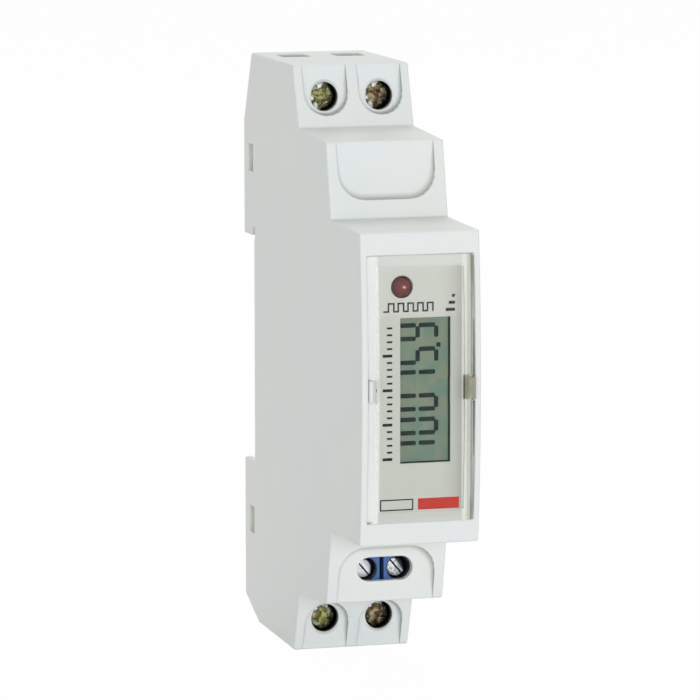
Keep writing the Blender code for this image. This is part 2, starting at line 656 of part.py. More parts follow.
def make_rear_base():
    half = INNER_HALF_WIDTH - GAP
    top = BODY_LIFT + END_HALF_HEIGHT - END_WALL - GAP
    bottom = BODY_LIFT - END_HALF_HEIGHT + END_WALL + GAP
    chamfer_foot = LIP_DEPTH - (BODY_LIFT - LOWER_SLOPE_Z - bottom) * (
        LIP_DEPTH + BOTTOM_REAR_DEPTH) / (BOTTOM_REAR_Z - LOWER_SLOPE_Z)
    lip = LIP_DEPTH - GAP / 2
    slope_top = slope_y(top) - GAP / 2
    turn_z = BODY_LIFT + UPPER_SLOPE_Z
    outer = [(slope_top, top), (lip, turn_z), (lip, HOOK_TIP_Z), (HOOK_Y, HOOK_TIP_Z),
             (HOOK_Y, HOOK_TOP_Z), (-HOOK_UNDERCUT, HOOK_TOP_Z), (-HOOK_UNDERCUT, HOOK_TIP_Z),
             (0.0, HOOK_TIP_Z - HOOK_UNDERCUT), (0.0, SHELF_Z), (CHANNEL_WALL_Y, SHELF_Z),
             (CHANNEL_WALL_Y, chamfer_z(CHANNEL_WALL_Y)), (chamfer_foot, bottom)]
    inner = [(chamfer_foot - BASE_WALL, bottom),
             (CHANNEL_WALL_Y - BASE_WALL, chamfer_z(CHANNEL_WALL_Y) + BASE_WALL / 2),
             (CHANNEL_WALL_Y - BASE_WALL, SHELF_Z - BASE_WALL),
             (-BASE_WALL, SHELF_Z - BASE_WALL / 2),
             (-BASE_WALL, HOOK_TIP_Z - HOOK_UNDERCUT - BASE_WALL),
             (-HOOK_UNDERCUT - BASE_WALL, HOOK_TIP_Z - BASE_WALL),
             (-HOOK_UNDERCUT - BASE_WALL, HOOK_TOP_Z + BASE_WALL),
             (lip - BASE_WALL, HOOK_TOP_Z + BASE_WALL),
             (lip - BASE_WALL, turn_z - BASE_WALL / 4),
             (slope_top - BASE_WALL * 1.1, top)]
    base = prism("rear_base", outer + inner, "X", -half, half, BASE_PLASTIC)

    # guides that hold the clip's flanges
    guide_top = SHELF_Z - GAP
    guide_bottom = chamfer_z(lip - GAP) + GAP
    lips_y = clip_front() + CLIP_FLANGE + GAP
    for side in (1, -1):
        guide = [(side * (CLIP_FLANGE_HALF_WIDTH + GAP), CHANNEL_WALL_Y - GAP),
                 (side * half, CHANNEL_WALL_Y - GAP), (side * half, lip - GAP),
                 (side * (CLIP_HALF_WIDTH + GAP), lip - GAP), (side * (CLIP_HALF_WIDTH + GAP), lips_y),
                 (side * (CLIP_FLANGE_HALF_WIDTH + GAP), lips_y)]
        add(base, prism(f"clip_guide_{side}", guide, "Z", guide_bottom, guide_top))

    # pocket of the clip's spring, open to the clip's channel
    half_pocket = SPRING_RADIUS + SPRING_WIRE + GAP
    low = spring_bottom() - GAP
    high = tab_top() + GAP
    add(base, box("spring_housing", -half_pocket - POCKET_WALL, half_pocket + POCKET_WALL,
                  pocket_front() - POCKET_WALL, CHANNEL_WALL_Y - BASE_WALL / 2,
                  low - POCKET_WALL, high + POCKET_WALL))
    cut(base, box("cutter_spring_pocket", -half_pocket, half_pocket, pocket_front(),
                  CHANNEL_WALL_Y + GAP, low, high))

    # lugs and snaps towards the housing's side windows
    for level in (1, -1):
        z = BODY_LIFT + SNAP_RISE + level * SNAP_Z
        high = SNAP_WINDOW_HALF_HEIGHT - GAP
        for side in (1, -1):
            if level > 0:
                x0, x1 = sorted((side * (half - BASE_WALL), side * half))
                add(base, box(f"snap_lug_{side}", x0, x1, SNAP_Y - SNAP_WINDOW_HALF_DEPTH,
                              lip - BASE_WALL / 2, z - high, z + high))
            nub = [(side * (half - GAP), SNAP_Y - SNAP_WINDOW_HALF_DEPTH + GAP),
                   (side * (half + SNAP_REACH), SNAP_Y + GAP),
                   (side * (half + SNAP_REACH), SNAP_Y + SNAP_WINDOW_HALF_DEPTH - GAP),
                   (side * (half - GAP), SNAP_Y + SNAP_WINDOW_HALF_DEPTH - GAP)]
            add(base, prism(f"snap_{level}_{side}", nub, "Z", z - high, z + high))
    return base


def make_rail_clip():
    front = clip_front()
    rear = front + CLIP_BODY
    top = clip_top()
    bottom = clip_bottom()
    ramp = 2 * CLIP_OVERLAP
    body = [(front, top), (front + CLIP_OVERLAP, top), (rear, top - ramp),
            (rear, bottom + CLIP_NOTCH), (rear - CLIP_NOTCH, bottom), (front, bottom)]
    clip = prism("rail_clip", body, "X", -CLIP_HALF_WIDTH, CLIP_HALF_WIDTH, CLIP_PLASTIC)
    add(clip,
        box("clip_flange", -CLIP_FLANGE_HALF_WIDTH, CLIP_FLANGE_HALF_WIDTH, front,
            front + CLIP_FLANGE, bottom, SHELF_Z - 2 * GAP),
        box("clip_tab", -TAB_HALF_WIDTH, TAB_HALF_WIDTH, front - TAB_REACH, front + CLIP_FLANGE / 2,
            tab_top() - TAB_HEIGHT, tab_top()))
    notch_z = bottom + 2 * CLIP_NOTCH
    cut(clip, box("cutter_clip_notch", -CLIP_HALF_WIDTH / 2, CLIP_HALF_WIDTH / 2,
                  rear - CLIP_NOTCH, rear + CLIP_NOTCH, notch_z, notch_z + CLIP_NOTCH))
    return set_origin(clip, (0.0, front + CLIP_BODY / 2, SHELF_Z))


def make_spring():
    """Compression spring along Z, wound upwards from its lower end."""
    bm = bmesh.new()
    steps, sides = 12, 6
    rings = []
    rise = spring_length() - 2 * SPRING_WIRE
    count = SPRING_TURNS * steps
    pitch_angle = math.atan2(rise, SPRING_TURNS * 2 * math.pi * SPRING_RADIUS)
    for i in range(count + 1):
        a = 2 * math.pi * i / steps
        out = Vector((math.cos(a), math.sin(a), 0.0))
        height = spring_bottom() + SPRING_WIRE + rise * i / count
        centre = out * SPRING_RADIUS + Vector((0.0, spring_y(), height))
        along = Vector((-math.sin(a), math.cos(a), math.tan(pitch_angle))).normalized()
        side = along.cross(out).normalized()
        ring = []
        for k in range(sides):
            b = 2 * math.pi * k / sides
            ring.append(bm.verts.new(centre + SPRING_WIRE * (math.cos(b) * out + math.sin(b) * side)))
        rings.append(ring)
    for a, b in zip(rings, rings[1:]):
        for k in range(sides):
            j = (k + 1) % sides
            bm.faces.new((a[k], a[j], b[j], b[k]))
    bm.faces.new(rings[0])
    bm.faces.new(reversed(rings[-1]))
    spring = finish("clip_spring", bm, SPRING_STEEL, smooth=True)
    return set_origin(spring, (0.0, spring_y(), spring_bottom()))


# Terminals

def screw_head_y():
    return -TIER1_INNER_DEPTH + GAP


def bar_rear():
    """Rear face of the bars, level with the front of the wire entries."""
    return -WIRE_HOLE_Y - WIRE_HOLE_HALF_DEPTH


def make_screw(name, x, z, head_y, head, head_height, shank, length, mat):
    edge = head / 8
    profile = [(0, head_y), (head - edge, head_y), (head, head_y + edge),
               (head, head_y + head_height), (shank, head_y + head_height),
               (shank, head_y + length - shank / 3), (shank * 2 / 3, head_y + length),
               (0, head_y + length)]
    return turned(name, profile, x, z, mat)


def make_clamp(name, x, z, half_width, half_length, wall, nut, jaw, front, rear, hole, mat):
    """Rising clamp: a square sleeve along Z with a threaded front wall."""
    clamp = box(name, x - half_width, x + half_width, front, rear, z - half_length, z + half_length, mat)
    cut(clamp,
        box(f"cutter_sleeve_{name}", x - half_width + wall, x + half_width - wall,
            front + nut, rear - jaw, z - 2 * half_length, z + 2 * half_length),
        rod(f"cutter_thread_{name}", "Y", (x, z), hole, front - nut, front + 2 * nut, steps=24))
    return set_origin(clamp, (x, front, z))


def make_terminals():
    names = {(1, -1): "top_left", (1, 1): "top_right", (-1, -1): "bottom_left", (-1, 1): "bottom_right"}
    bar_front = bar_rear() - BAR_THICKNESS
    for index, ((level, side), label) in enumerate(names.items()):
        x = side * TERMINAL_PITCH / 2
        z = BODY_LIFT + level * TERMINAL_Z
        screw = make_screw(f"terminal_screw_{label}", x, z, screw_head_y(), HEAD_RADIUS, HEAD_HEIGHT,
                           SHANK_RADIUS, SCREW_LENGTH, ZINC)
        top = screw_head_y() - DRIVE_DEPTH
        slot = box(f"cutter_slot_{label}", x - DRIVE_SLOT / 2, x + DRIVE_SLOT / 2, top,
                   screw_head_y() + DRIVE_DEPTH, z - 2 * HEAD_RADIUS, z + 2 * HEAD_RADIUS)
        recess = prism(f"cutter_cross_{label}", cross(x, z, CROSS_ARM / 2, CROSS_SPAN / 2), "Y", top,
                       screw_head_y() + CROSS_DEPTH)
        for cutter in (slot, recess):
            turn_about_y(cutter, x, z, SCREW_TURNED[index])
        cut(screw, slot, recess)
        set_origin(screw, (x, screw_head_y(), z))

        jaw_front = -WIRE_HOLE_Y + WIRE_HOLE_HALF_DEPTH
        tip = screw_head_y() + SCREW_LENGTH
        make_clamp(f"terminal_clamp_{label}", x, z, CLAMP_HALF_WIDTH, CLAMP_HALF_LENGTH, CLAMP_WALL,
                   CLAMP_NUT, CLAMP_JAW, tip - 2 * CLAMP_NUT, jaw_front + CLAMP_JAW,
                   SHANK_RADIUS + GAP, NICKEL)

    # phase path on the left with the shunt in its middle, neutral path on the right
    half = BAR_WIDTH / 2
    end = TERMINAL_Z + CLAMP_HALF_LENGTH
    split = SHUNT_LENGTH / 2
    left, right = -TERMINAL_PITCH / 2, TERMINAL_PITCH / 2
    box("phase_bar_top", left - half, left + half, bar_front, bar_rear(),
        BODY_LIFT + split + GAP, BODY_LIFT + end, COPPER)
    box("phase_bar_bottom", left - half, left + half, bar_front, bar_rear(),
        BODY_LIFT - end, BODY_LIFT - split - GAP, COPPER)
    box("neutral_bar", right - half, right + half, bar_front, bar_rear(),
        BODY_LIFT - end, BODY_LIFT + end, COPPER)
    waist = SHUNT_FLARE
    shunt = [(left - half, BODY_LIFT - split), (left + half, BODY_LIFT - split),
             (left + half, BODY_LIFT - split / 2), (left + half + waist, BODY_LIFT - split / 2 + waist),
             (left + half + waist, BODY_LIFT + split / 2 - waist), (left + half, BODY_LIFT + split / 2),
             (left + half, BODY_LIFT + split), (left - half, BODY_LIFT + split),
             (left - half, BODY_LIFT + split / 2), (left - half - waist, BODY_LIFT + split / 2 - waist),
             (left - half - waist, BODY_LIFT - split / 2 + waist), (left - half, BODY_LIFT - split / 2)]
    prism("current_shunt", shunt, "Y", bar_front, bar_rear(), SHUNT_ALLOY)


# Pulse output terminal

def pulse_front():
    return -TIER2_INNER_DEPTH + GAP


def pulse_head_y():
    return pulse_front() + PULSE_WELL_DEPTH


def pulse_contact_front():
    return pulse_head_y() + PULSE_SCREW_LENGTH + GAP


def pulse_wire_y():
    return pulse_contact_front() + PULSE_CONTACT + PULSE_CLAMP_OPEN / 2


def pulse_jaw_rear():
    return pulse_contact_front() + PULSE_CONTACT + PULSE_CLAMP_OPEN + PULSE_CLAMP_JAW


def pulse_rear():
    return pulse_jaw_rear() + GAP + PULSE_BLOCK_WALL


def make_pulse_terminal():
    front = pulse_front()
    jaw_rear = pulse_jaw_rear()
    rear = pulse_rear()
    top = BODY_LIFT - PULSE_Z + PULSE_BLOCK_TOP
    bottom = BODY_LIFT - TIER2_EDGE_Z + LEDGE_WALL + GAP
    z = BODY_LIFT - PULSE_Z
    chamber_half = PULSE_CLAMP_HALF_WIDTH + GAP
    wide = PULSE_PITCH / 2 + chamber_half + PULSE_BLOCK_WALL
    block = box("pulse_block", -wide, wide, front, rear, bottom, top, BLUE)
    cut(block, box("cutter_pulse_groove", -PULSE_GROOVE / 2, PULSE_GROOVE / 2, front - PULSE_GROOVE,
                   front + 2 * PULSE_GROOVE, bottom - PULSE_GROOVE, top + PULSE_GROOVE))
    chamber_front = pulse_head_y() + PULSE_HEAD_HEIGHT + GAP
    for side, label in ((-1, "left"), (1, "right")):
        x = side * PULSE_PITCH / 2
        cut(block,
            rod(f"cutter_well_{label}", "Y", (x, z), PULSE_WELL_RADIUS, front - PULSE_WELL_DEPTH,
                chamber_front + GAP, steps=24),
            box(f"cutter_chamber_{label}", x - chamber_half, x + chamber_half, chamber_front,
                jaw_rear + GAP, bottom - GAP, z + PULSE_CLAMP_HALF_LENGTH + GAP))
        screw = make_screw(f"pulse_screw_{label}", x, z, pulse_head_y(), PULSE_HEAD_RADIUS,
                           PULSE_HEAD_HEIGHT, PULSE_SHANK_RADIUS, PULSE_SCREW_LENGTH, STEEL)
        slot = box(f"cutter_pulse_slot_{label}", x - PULSE_SLOT / 2, x + PULSE_SLOT / 2,
                   pulse_head_y() - PULSE_SLOT_DEPTH, pulse_head_y() + PULSE_SLOT_DEPTH,
                   z - 2 * PULSE_HEAD_RADIUS, z + 2 * PULSE_HEAD_RADIUS)
        cut(screw, turn_about_y(slot, x, z, PULSE_SLOT_TURNED))
        set_origin(screw, (x, pulse_head_y(), z))

        contact_front = pulse_contact_front()
        jaw_front = contact_front + PULSE_CONTACT + PULSE_CLAMP_OPEN
        make_clamp(f"pulse_clamp_{label}", x, z, PULSE_CLAMP_HALF_WIDTH, PULSE_CLAMP_HALF_LENGTH,
                   PULSE_CLAMP_WALL, PULSE_CLAMP_NUT, PULSE_CLAMP_JAW,
                   contact_front - GAP - 1.5 * PULSE_CLAMP_NUT, jaw_front + PULSE_CLAMP_JAW,
                   PULSE_SHANK_RADIUS + GAP, NICKEL)
        half = PULSE_CLAMP_HALF_WIDTH - PULSE_CLAMP_WALL - GAP
        box(f"pulse_contact_{label}", x - half, x + half, contact_front,
            contact_front + PULSE_CONTACT, z - PULSE_CLAMP_HALF_LENGTH,
            z + PULSE_CLAMP_HALF_LENGTH + GAP / 2, COPPER)
    return block


# Window, label and display

def label_front():
    return -NOSE_DEPTH + REBATE_DEPTH - GAP - LABEL_THICKNESS


def glass_front():
    return label_front() + LABEL_THICKNESS + GAP


def make_window():
    """Clear window: raised front that follows the nose, hollow behind."""
    bm = bmesh.new()
    back = label_front() - GAP
    steps = 10
    flat = WINDOW_HALF_HEIGHT - WINDOW_BEVEL
    low = WINDOW_RISE - WINDOW_BEVEL
    stations = [(-WINDOW_HALF_HEIGHT, low)]
    stations += [(-flat + 2 * flat * i / steps, WINDOW_RISE) for i in range(steps + 1)]
    stations += [(WINDOW_HALF_HEIGHT, low)]
    rings = []
    for v, rise in stations:
        z = NOSE_MIDDLE + v
        surface = nose_front(z)
        inner = WINDOW_HALF_WIDTH - WINDOW_BEVEL
        ring = [(-WINDOW_HALF_WIDTH, back), (WINDOW_HALF_WIDTH, back), (WINDOW_HALF_WIDTH, surface - low),
                (inner, surface - rise), (-inner, surface - rise), (-WINDOW_HALF_WIDTH, surface - low)]
        rings.append([bm.verts.new((x, y, z)) for x, y in ring])
    for a, b in zip(rings, rings[1:]):
        for i in range(6):
            j = (i + 1) % 6
            bm.faces.new((a[i], a[j], b[j], b[i]))
    bm.faces.new(rings[0])
    bm.faces.new(reversed(rings[-1]))
    window = finish("window_cover", bm, CLEAR)

    wide = WINDOW_HALF_WIDTH - WINDOW_LAND
    high = WINDOW_HALF_HEIGHT - WINDOW_LAND
    hollow = [(back + WINDOW_WALL, NOSE_MIDDLE - high), (back + WINDOW_WALL, NOSE_MIDDLE + high)]
    for i in range(steps + 1):
        z = NOSE_MIDDLE + high - 2 * high * i / steps
        hollow.append((nose_front(z) - WINDOW_RISE + WINDOW_WALL, z))
    cut(window, prism("cutter_window_hollow", hollow, "X", -wide, wide))
    floor = nose_front(NOSE_MIDDLE) + CATCH_SET_BACK + CATCH_THICKNESS + WINDOW_GAP
    for side in (1, -1):
        x0, x1 = sorted((side * (WINDOW_HALF_WIDTH - CATCH_REACH), side * (WINDOW_HALF_WIDTH + CATCH_REACH)))
        cut(window, box(f"cutter_catch_notch_{side}", x0, x1, -NOSE_DEPTH - NOSE_BULGE - 2 * WINDOW_RISE,
                        floor, NOSE_MIDDLE - CATCH_HALF_LENGTH - GAP / 2,
                        NOSE_MIDDLE + CATCH_HALF_LENGTH + GAP / 2))
    return window


def make_label():
    front = label_front()
    rear = front + LABEL_THICKNESS
    wide = WINDOW_HALF_WIDTH - GAP / 2
    high = WINDOW_HALF_HEIGHT - GAP / 2
    label = box("label_plate", -wide, wide, front, rear, NOSE_MIDDLE - high, NOSE_MIDDLE + high, LABEL)
    cut(label,
        box("cutter_display", DISPLAY_X - DISPLAY_HALF_WIDTH, DISPLAY_X + DISPLAY_HALF_WIDTH,
            front - GAP, rear + GAP, NOSE_MIDDLE + DISPLAY_Z - DISPLAY_HALF_HEIGHT,
            NOSE_MIDDLE + DISPLAY_Z + DISPLAY_HALF_HEIGHT),
        rod("cutter_led", "Y", (LED_X, NOSE_MIDDLE + LED_Z), LED_RADIUS + GAP / 2, front - GAP, rear + GAP))
    return label


def board_front():
    return glass_front() + GLASS_THICKNESS + GAP + STRIP_HEIGHT + GAP


def make_display():
    z = NOSE_MIDDLE + DISPLAY_Z
    front = glass_front()
    rear = front + GLASS_THICKNESS
    box("lcd_glass", DISPLAY_X - GLASS_HALF_WIDTH, DISPLAY_X + GLASS_HALF_WIDTH, front, rear,
        z - GLASS_HALF_HEIGHT, z + GLASS_HALF_HEIGHT, GLASS)

    pocket_x = GLASS_HALF_WIDTH + GAP
    pocket_z = GLASS_HALF_HEIGHT + GAP
    holder_front = -NOSE_DEPTH + NOSE_WALL + GAP
    holder_rear = board_front() - GAP
    holder = box("lcd_holder", DISPLAY_X - pocket_x - HOLDER_WALL, DISPLAY_X + pocket_x + HOLDER_WALL,
                 holder_front, holder_rear, z - pocket_z - HOLDER_WALL, z + pocket_z + HOLDER_WALL,
                 HOLDER)
    open_x = GLASS_HALF_WIDTH - HOLDER_LIP
    open_z = GLASS_HALF_HEIGHT - HOLDER_LIP
    cut(holder,
        box("cutter_glass_pocket", DISPLAY_X - pocket_x, DISPLAY_X + pocket_x, front - GAP, rear + GAP,
            z - pocket_z, z + pocket_z),
        box("cutter_holder_opening", DISPLAY_X - open_x, DISPLAY_X + open_x, front, holder_rear + GAP,
            z - open_z, z + open_z))

    for side, label in ((-1, "left"), (1, "right")):
        x0, x1 = sorted((DISPLAY_X + side * (open_x - GAP), DISPLAY_X + side * (open_x - GAP - STRIP_WIDTH)))
        box(f"contact_strip_{label}", x0, x1, rear + GAP, rear + GAP + STRIP_HEIGHT,
            z - open_z + STRIP_END_ROOM, z + open_z - STRIP_END_ROOM, RUBBER)

    box("display_board", -DISPLAY_BOARD_HALF_WIDTH, DISPLAY_BOARD_HALF_WIDTH, board_front(),
        board_front() + BOARD_THICKNESS, NOSE_MIDDLE - DISPLAY_BOARD_HALF_HEIGHT,
        NOSE_MIDDLE + DISPLAY_BOARD_HALF_HEIGHT, BOARD)


def make_led():
    x, z = LED_X, NOSE_MIDDLE + LED_Z
    dome_base = label_front() + LABEL_THICKNESS
    foot = board_front() - GAP
    dome = [(LED_RADIUS * math.sin(math.pi * i / 12),
             dome_base - LED_RADIUS / 2 * math.cos(math.pi * i / 12)) for i in range(7)]
    profile = dome + [(LED_RADIUS, foot - LED_FLANGE_HEIGHT), (LED_FLANGE_RADIUS, foot - LED_FLANGE_HEIGHT),
                      (LED_FLANGE_RADIUS, foot), (0, foot)]
    profile[0] = (0, dome_base - LED_RADIUS / 2)
    return turned("pulse_led", profile, x, z, LED_RED, steps=28)


# Main board and what stands on it

def board_face():
    return -INNER_HALF_WIDTH + GAP + BOARD_THICKNESS


def on_board(name, size, place, mat):
    """Box that stands on the board; place is its middle as depth and height."""
    x0 = board_face() + GAP
    return box(name, x0, x0 + size[0], -place[0] - size[1] / 2, -place[0] + size[1] / 2,
               BODY_LIFT + place[1] - size[2] / 2, BODY_LIFT + place[1] + size[2] / 2, mat)


def make_boards():
    x0 = -INNER_HALF_WIDTH + GAP
    nose = board_front() + BOARD_THICKNESS + GAP
    tier2 = -TIER2_INNER_DEPTH + 2 * GAP
    step = NOSE_HALF_HEIGHT - LEDGE_WALL - 2 * GAP
    block_top = PULSE_Z - PULSE_BLOCK_TOP - GAP
    loop = [(-BOARD_REAR, BOARD_HALF_HEIGHT), (tier2, BOARD_HALF_HEIGHT), (tier2, step), (nose, step),
            (nose, -step), (tier2, -step), (tier2, -block_top), (pulse_rear() + GAP, -block_top),
            (pulse_rear() + GAP, -BOARD_HALF_HEIGHT), (-BOARD_REAR, -BOARD_HALF_HEIGHT)]
    prism("main_board", [(y, BODY_LIFT + z) for y, z in loop], "X", x0, board_face(), BOARD)

    header_x = board_face() + GAP
    box("board_header", header_x, header_x + HEADER_WIDTH, nose, nose + HEADER_WIDTH,
        BODY_LIFT - HEADER_LENGTH / 2, BODY_LIFT + HEADER_LENGTH / 2, EPOXY)
    on_board("film_capacitor", CAPACITOR_SIZE, CAPACITOR_YZ, YELLOW)
    chip_front = nose + HEADER_WIDTH + CHIP_TO_HEADER
    on_board("metering_chip", CHIP_SIZE, (-chip_front - CHIP_SIZE[1] / 2, CHIP_Z), EPOXY)
    on_board("optocoupler", OPTOCOUPLER_SIZE, OPTOCOUPLER_YZ, OPTO_WHITE)

    stand = board_face() + GAP
    rod("electrolytic_capacitor", "X", (-ELECTROLYTIC_YZ[0], BODY_LIFT + ELECTROLYTIC_YZ[1]),
        ELECTROLYTIC_RADIUS, stand, stand + ELECTROLYTIC_LENGTH, SLEEVE, steps=28)
    rod("varistor", "Y", (stand + VARISTOR_RADIUS, BODY_LIFT + VARISTOR_YZ[1]), VARISTOR_RADIUS,
        -VARISTOR_YZ[0] - VARISTOR_THICKNESS / 2, -VARISTOR_YZ[0] + VARISTOR_THICKNESS / 2, VARISTOR,
        steps=28)
    rod("power_resistor", "Z", (stand + RESISTOR_RADIUS, -RESISTOR_YZ[0]), RESISTOR_RADIUS,
        BODY_LIFT + RESISTOR_YZ[1] - RESISTOR_LENGTH / 2,
        BODY_LIFT + RESISTOR_YZ[1] + RESISTOR_LENGTH / 2, RESISTOR, steps=20)


make_housing()
make_rear_base()
make_rail_clip()
make_spring()
make_terminals()
make_pulse_terminal()
make_window()
make_label()
make_display()
make_led()
make_boards()
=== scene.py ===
"""Looks of the one-module rail energy meter: finer surfaces, finishes, light and camera.

Sizes are in metres, in the frame's own axes: the meter's front faces -Y and +Z is up.
"""

import math

import bmesh
import bpy
from mathutils import Matrix, Vector


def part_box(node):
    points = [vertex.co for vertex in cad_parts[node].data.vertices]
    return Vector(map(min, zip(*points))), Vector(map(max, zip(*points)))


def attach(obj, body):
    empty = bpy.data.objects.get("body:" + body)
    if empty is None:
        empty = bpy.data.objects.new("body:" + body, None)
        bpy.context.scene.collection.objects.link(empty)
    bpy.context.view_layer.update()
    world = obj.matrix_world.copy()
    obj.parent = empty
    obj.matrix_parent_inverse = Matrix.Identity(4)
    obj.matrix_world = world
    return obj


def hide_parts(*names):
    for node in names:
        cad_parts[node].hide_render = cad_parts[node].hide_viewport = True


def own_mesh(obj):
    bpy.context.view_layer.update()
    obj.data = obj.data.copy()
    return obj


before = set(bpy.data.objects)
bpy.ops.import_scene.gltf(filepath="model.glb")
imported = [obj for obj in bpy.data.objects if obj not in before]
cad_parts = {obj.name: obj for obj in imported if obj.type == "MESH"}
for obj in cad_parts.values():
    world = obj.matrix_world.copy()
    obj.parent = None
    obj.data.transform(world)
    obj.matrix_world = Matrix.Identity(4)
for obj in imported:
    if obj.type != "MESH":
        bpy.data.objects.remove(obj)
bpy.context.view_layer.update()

MM = 0.001


def middle(node):
    """The middle of a node's box at rest."""
    low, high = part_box(node)
    return [(a + b) / 2 for a, b in zip(low, high)]


def foremost(node):
    """y of a node's front at rest."""
    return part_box(node)[0][1]


# Terminals, pulse terminal and rail clip
TERMINAL_X, _, UPPER_Z = middle("terminal_screw_top_right")
LOWER_Z = middle("terminal_screw_bottom_right")[2]
MIDDLE_Z = (UPPER_Z + LOWER_Z) / 2  # the housing's middle height
TERMINAL_Z = (UPPER_Z - LOWER_Z) / 2  # above and below the housing's middle
SCREW_FRONT = foremost("terminal_screw_top_left")
SCREW_TURNED = {"top_left": 17.0, "top_right": 11.0, "bottom_left": 4.0, "bottom_right": 12.0}
PULSE_X, _, PULSE_Z = middle("pulse_screw_right")
PULSE_FRONT = foremost("pulse_screw_right")

# Nose, window and what stands behind it
NOSE_Z = middle("window_cover")[2]
NOSE_HALF_HEIGHT = 22.7 * MM
NOSE_EDGE = -55.7 * MM  # where its convex front starts, above and below
NOSE_BULGE = 1.1 * MM
WINDOW_HALF_WIDTH = 7.9 * MM  # a little fuller than the solid it stands for
WINDOW_HALF_HEIGHT = 19.3 * MM
WINDOW_FOOT = -55.6 * MM
HOLLOW_HALF_WIDTH = 6.5 * MM  # the window's hollow back
HOLLOW_HALF_HEIGHT = 17.9 * MM
CATCH_Y = -56.85 * MM
LABEL_FRONT = foremost("label_plate")
GLASS_FRONT = foremost("lcd_glass")
LED_X, _, LED_Z = middle("pulse_led")
LED_RADIUS = 1.5 * MM
INK = 0.02 * MM  # thickness of printed marks

GRAIN_SIZE = 0.19 * MM  # of spark-eroded plastic
GRAIN_DEPTH = 0.012 * MM
FLOOR_LEVEL = -43.9 * MM
SEEN_RAYS = ("Is Camera Ray", "Is Glossy Ray", "Is Transmission Ray")


# Node trees

def _sign(operation, swapped=False):
    """A method for an arithmetic sign; swapped where the Signal stands on the right."""
    if swapped:
        return lambda self, other: self._math(operation, other, self)
    return lambda self, *others: self._math(operation, self, *others)


class Signal:
    """A socket that adds Math nodes when it is used in arithmetic."""

    __add__, __radd__ = _sign("ADD"), _sign("ADD", swapped=True)
    __sub__, __rsub__ = _sign("SUBTRACT"), _sign("SUBTRACT", swapped=True)
    __mul__, __rmul__ = _sign("MULTIPLY"), _sign("MULTIPLY", swapped=True)
    __truediv__, __rtruediv__ = _sign("DIVIDE"), _sign("DIVIDE", swapped=True)
    __pow__, __mod__, __gt__, __abs__ = map(_sign, ("POWER", "MODULO", "GREATER_THAN", "ABSOLUTE"))

    def __init__(self, sheet, socket):
        self.sheet = sheet
        self.socket = socket

    def _math(self, operation, *values):
        return self.sheet.node("ShaderNodeMath", {"operation": operation},
                               dict(enumerate(values)))

    def apply(self, operation, *others):
        return self._math(operation, self, *others)

    def near(self, value, reach):
        """1 at the value, falling smoothly to 0 at the reach on both sides of it."""
        return abs(self - value).ramp(reach, reach * 0.45)

    def ramp(self, low, high):
        """0 below low, 1 above high, with a smooth rise; low may be above high."""
        return self.sheet.node("ShaderNodeMapRange", {"interpolation_type": "SMOOTHSTEP"},
                               {"Value": self, "From Min": low, "From Max": high})


class Sheet:
    """A node tree that is written one node at a time."""

    def __init__(self, tree):
        self.tree = tree

    def feed(self, socket, value):
        if isinstance(value, Signal):
            self.tree.links.new(value.socket, socket)
        elif isinstance(value, (list, tuple)) and value and isinstance(value[0], Signal):
            for signal in value:
                self.tree.links.new(signal.socket, socket)
        else:
            socket.default_value = value

    def node(self, kind, settings=None, inputs=None, output=0):
        """Adds a node: its settings first, then the values or links of its sockets."""
        node = self.tree.nodes.new(kind)
        for key, value in (settings or {}).items():
            if key == "stops":
                ramp = node.color_ramp
                while len(ramp.elements) < len(value):
                    ramp.elements.new(0.5)
                for element, (position, colour) in zip(ramp.elements, value):
                    element.position = position
                    element.color = (*colour, 1.0)
            else:
                setattr(node, key, value)
        for key, value in (inputs or {}).items():
            self.feed(node.inputs[key], value)
        return Signal(self, node.outputs[output])

    def vector(self, x, y, z):
        return self.node("ShaderNodeCombineXYZ", None, {0: x, 1: y, 2: z})

    def parts(self, vector):
        node = self.tree.nodes.new("ShaderNodeSeparateXYZ")
        self.feed(node.inputs[0], vector)
        return [Signal(self, socket) for socket in node.outputs]

    def blend(self, first, second, share):
        """Mixes two colours; each is a colour or a signal."""
        first, second = (c if isinstance(c, Signal) else (*c, 1.0) for c in (first, second))
        return self.node("ShaderNodeMix", {"data_type": "RGBA"},
                         {0: share, 6: first, 7: second}, 2)

    def rays(self, labels):
        """1 for a ray of any of the kinds, else 0."""
        path = self.tree.nodes.new("ShaderNodeLightPath")
        any_kind = Signal(self, path.outputs[labels[0]])
        for label in labels[1:]:
            any_kind = any_kind.apply("MAXIMUM", Signal(self, path.outputs[label]))
        return any_kind


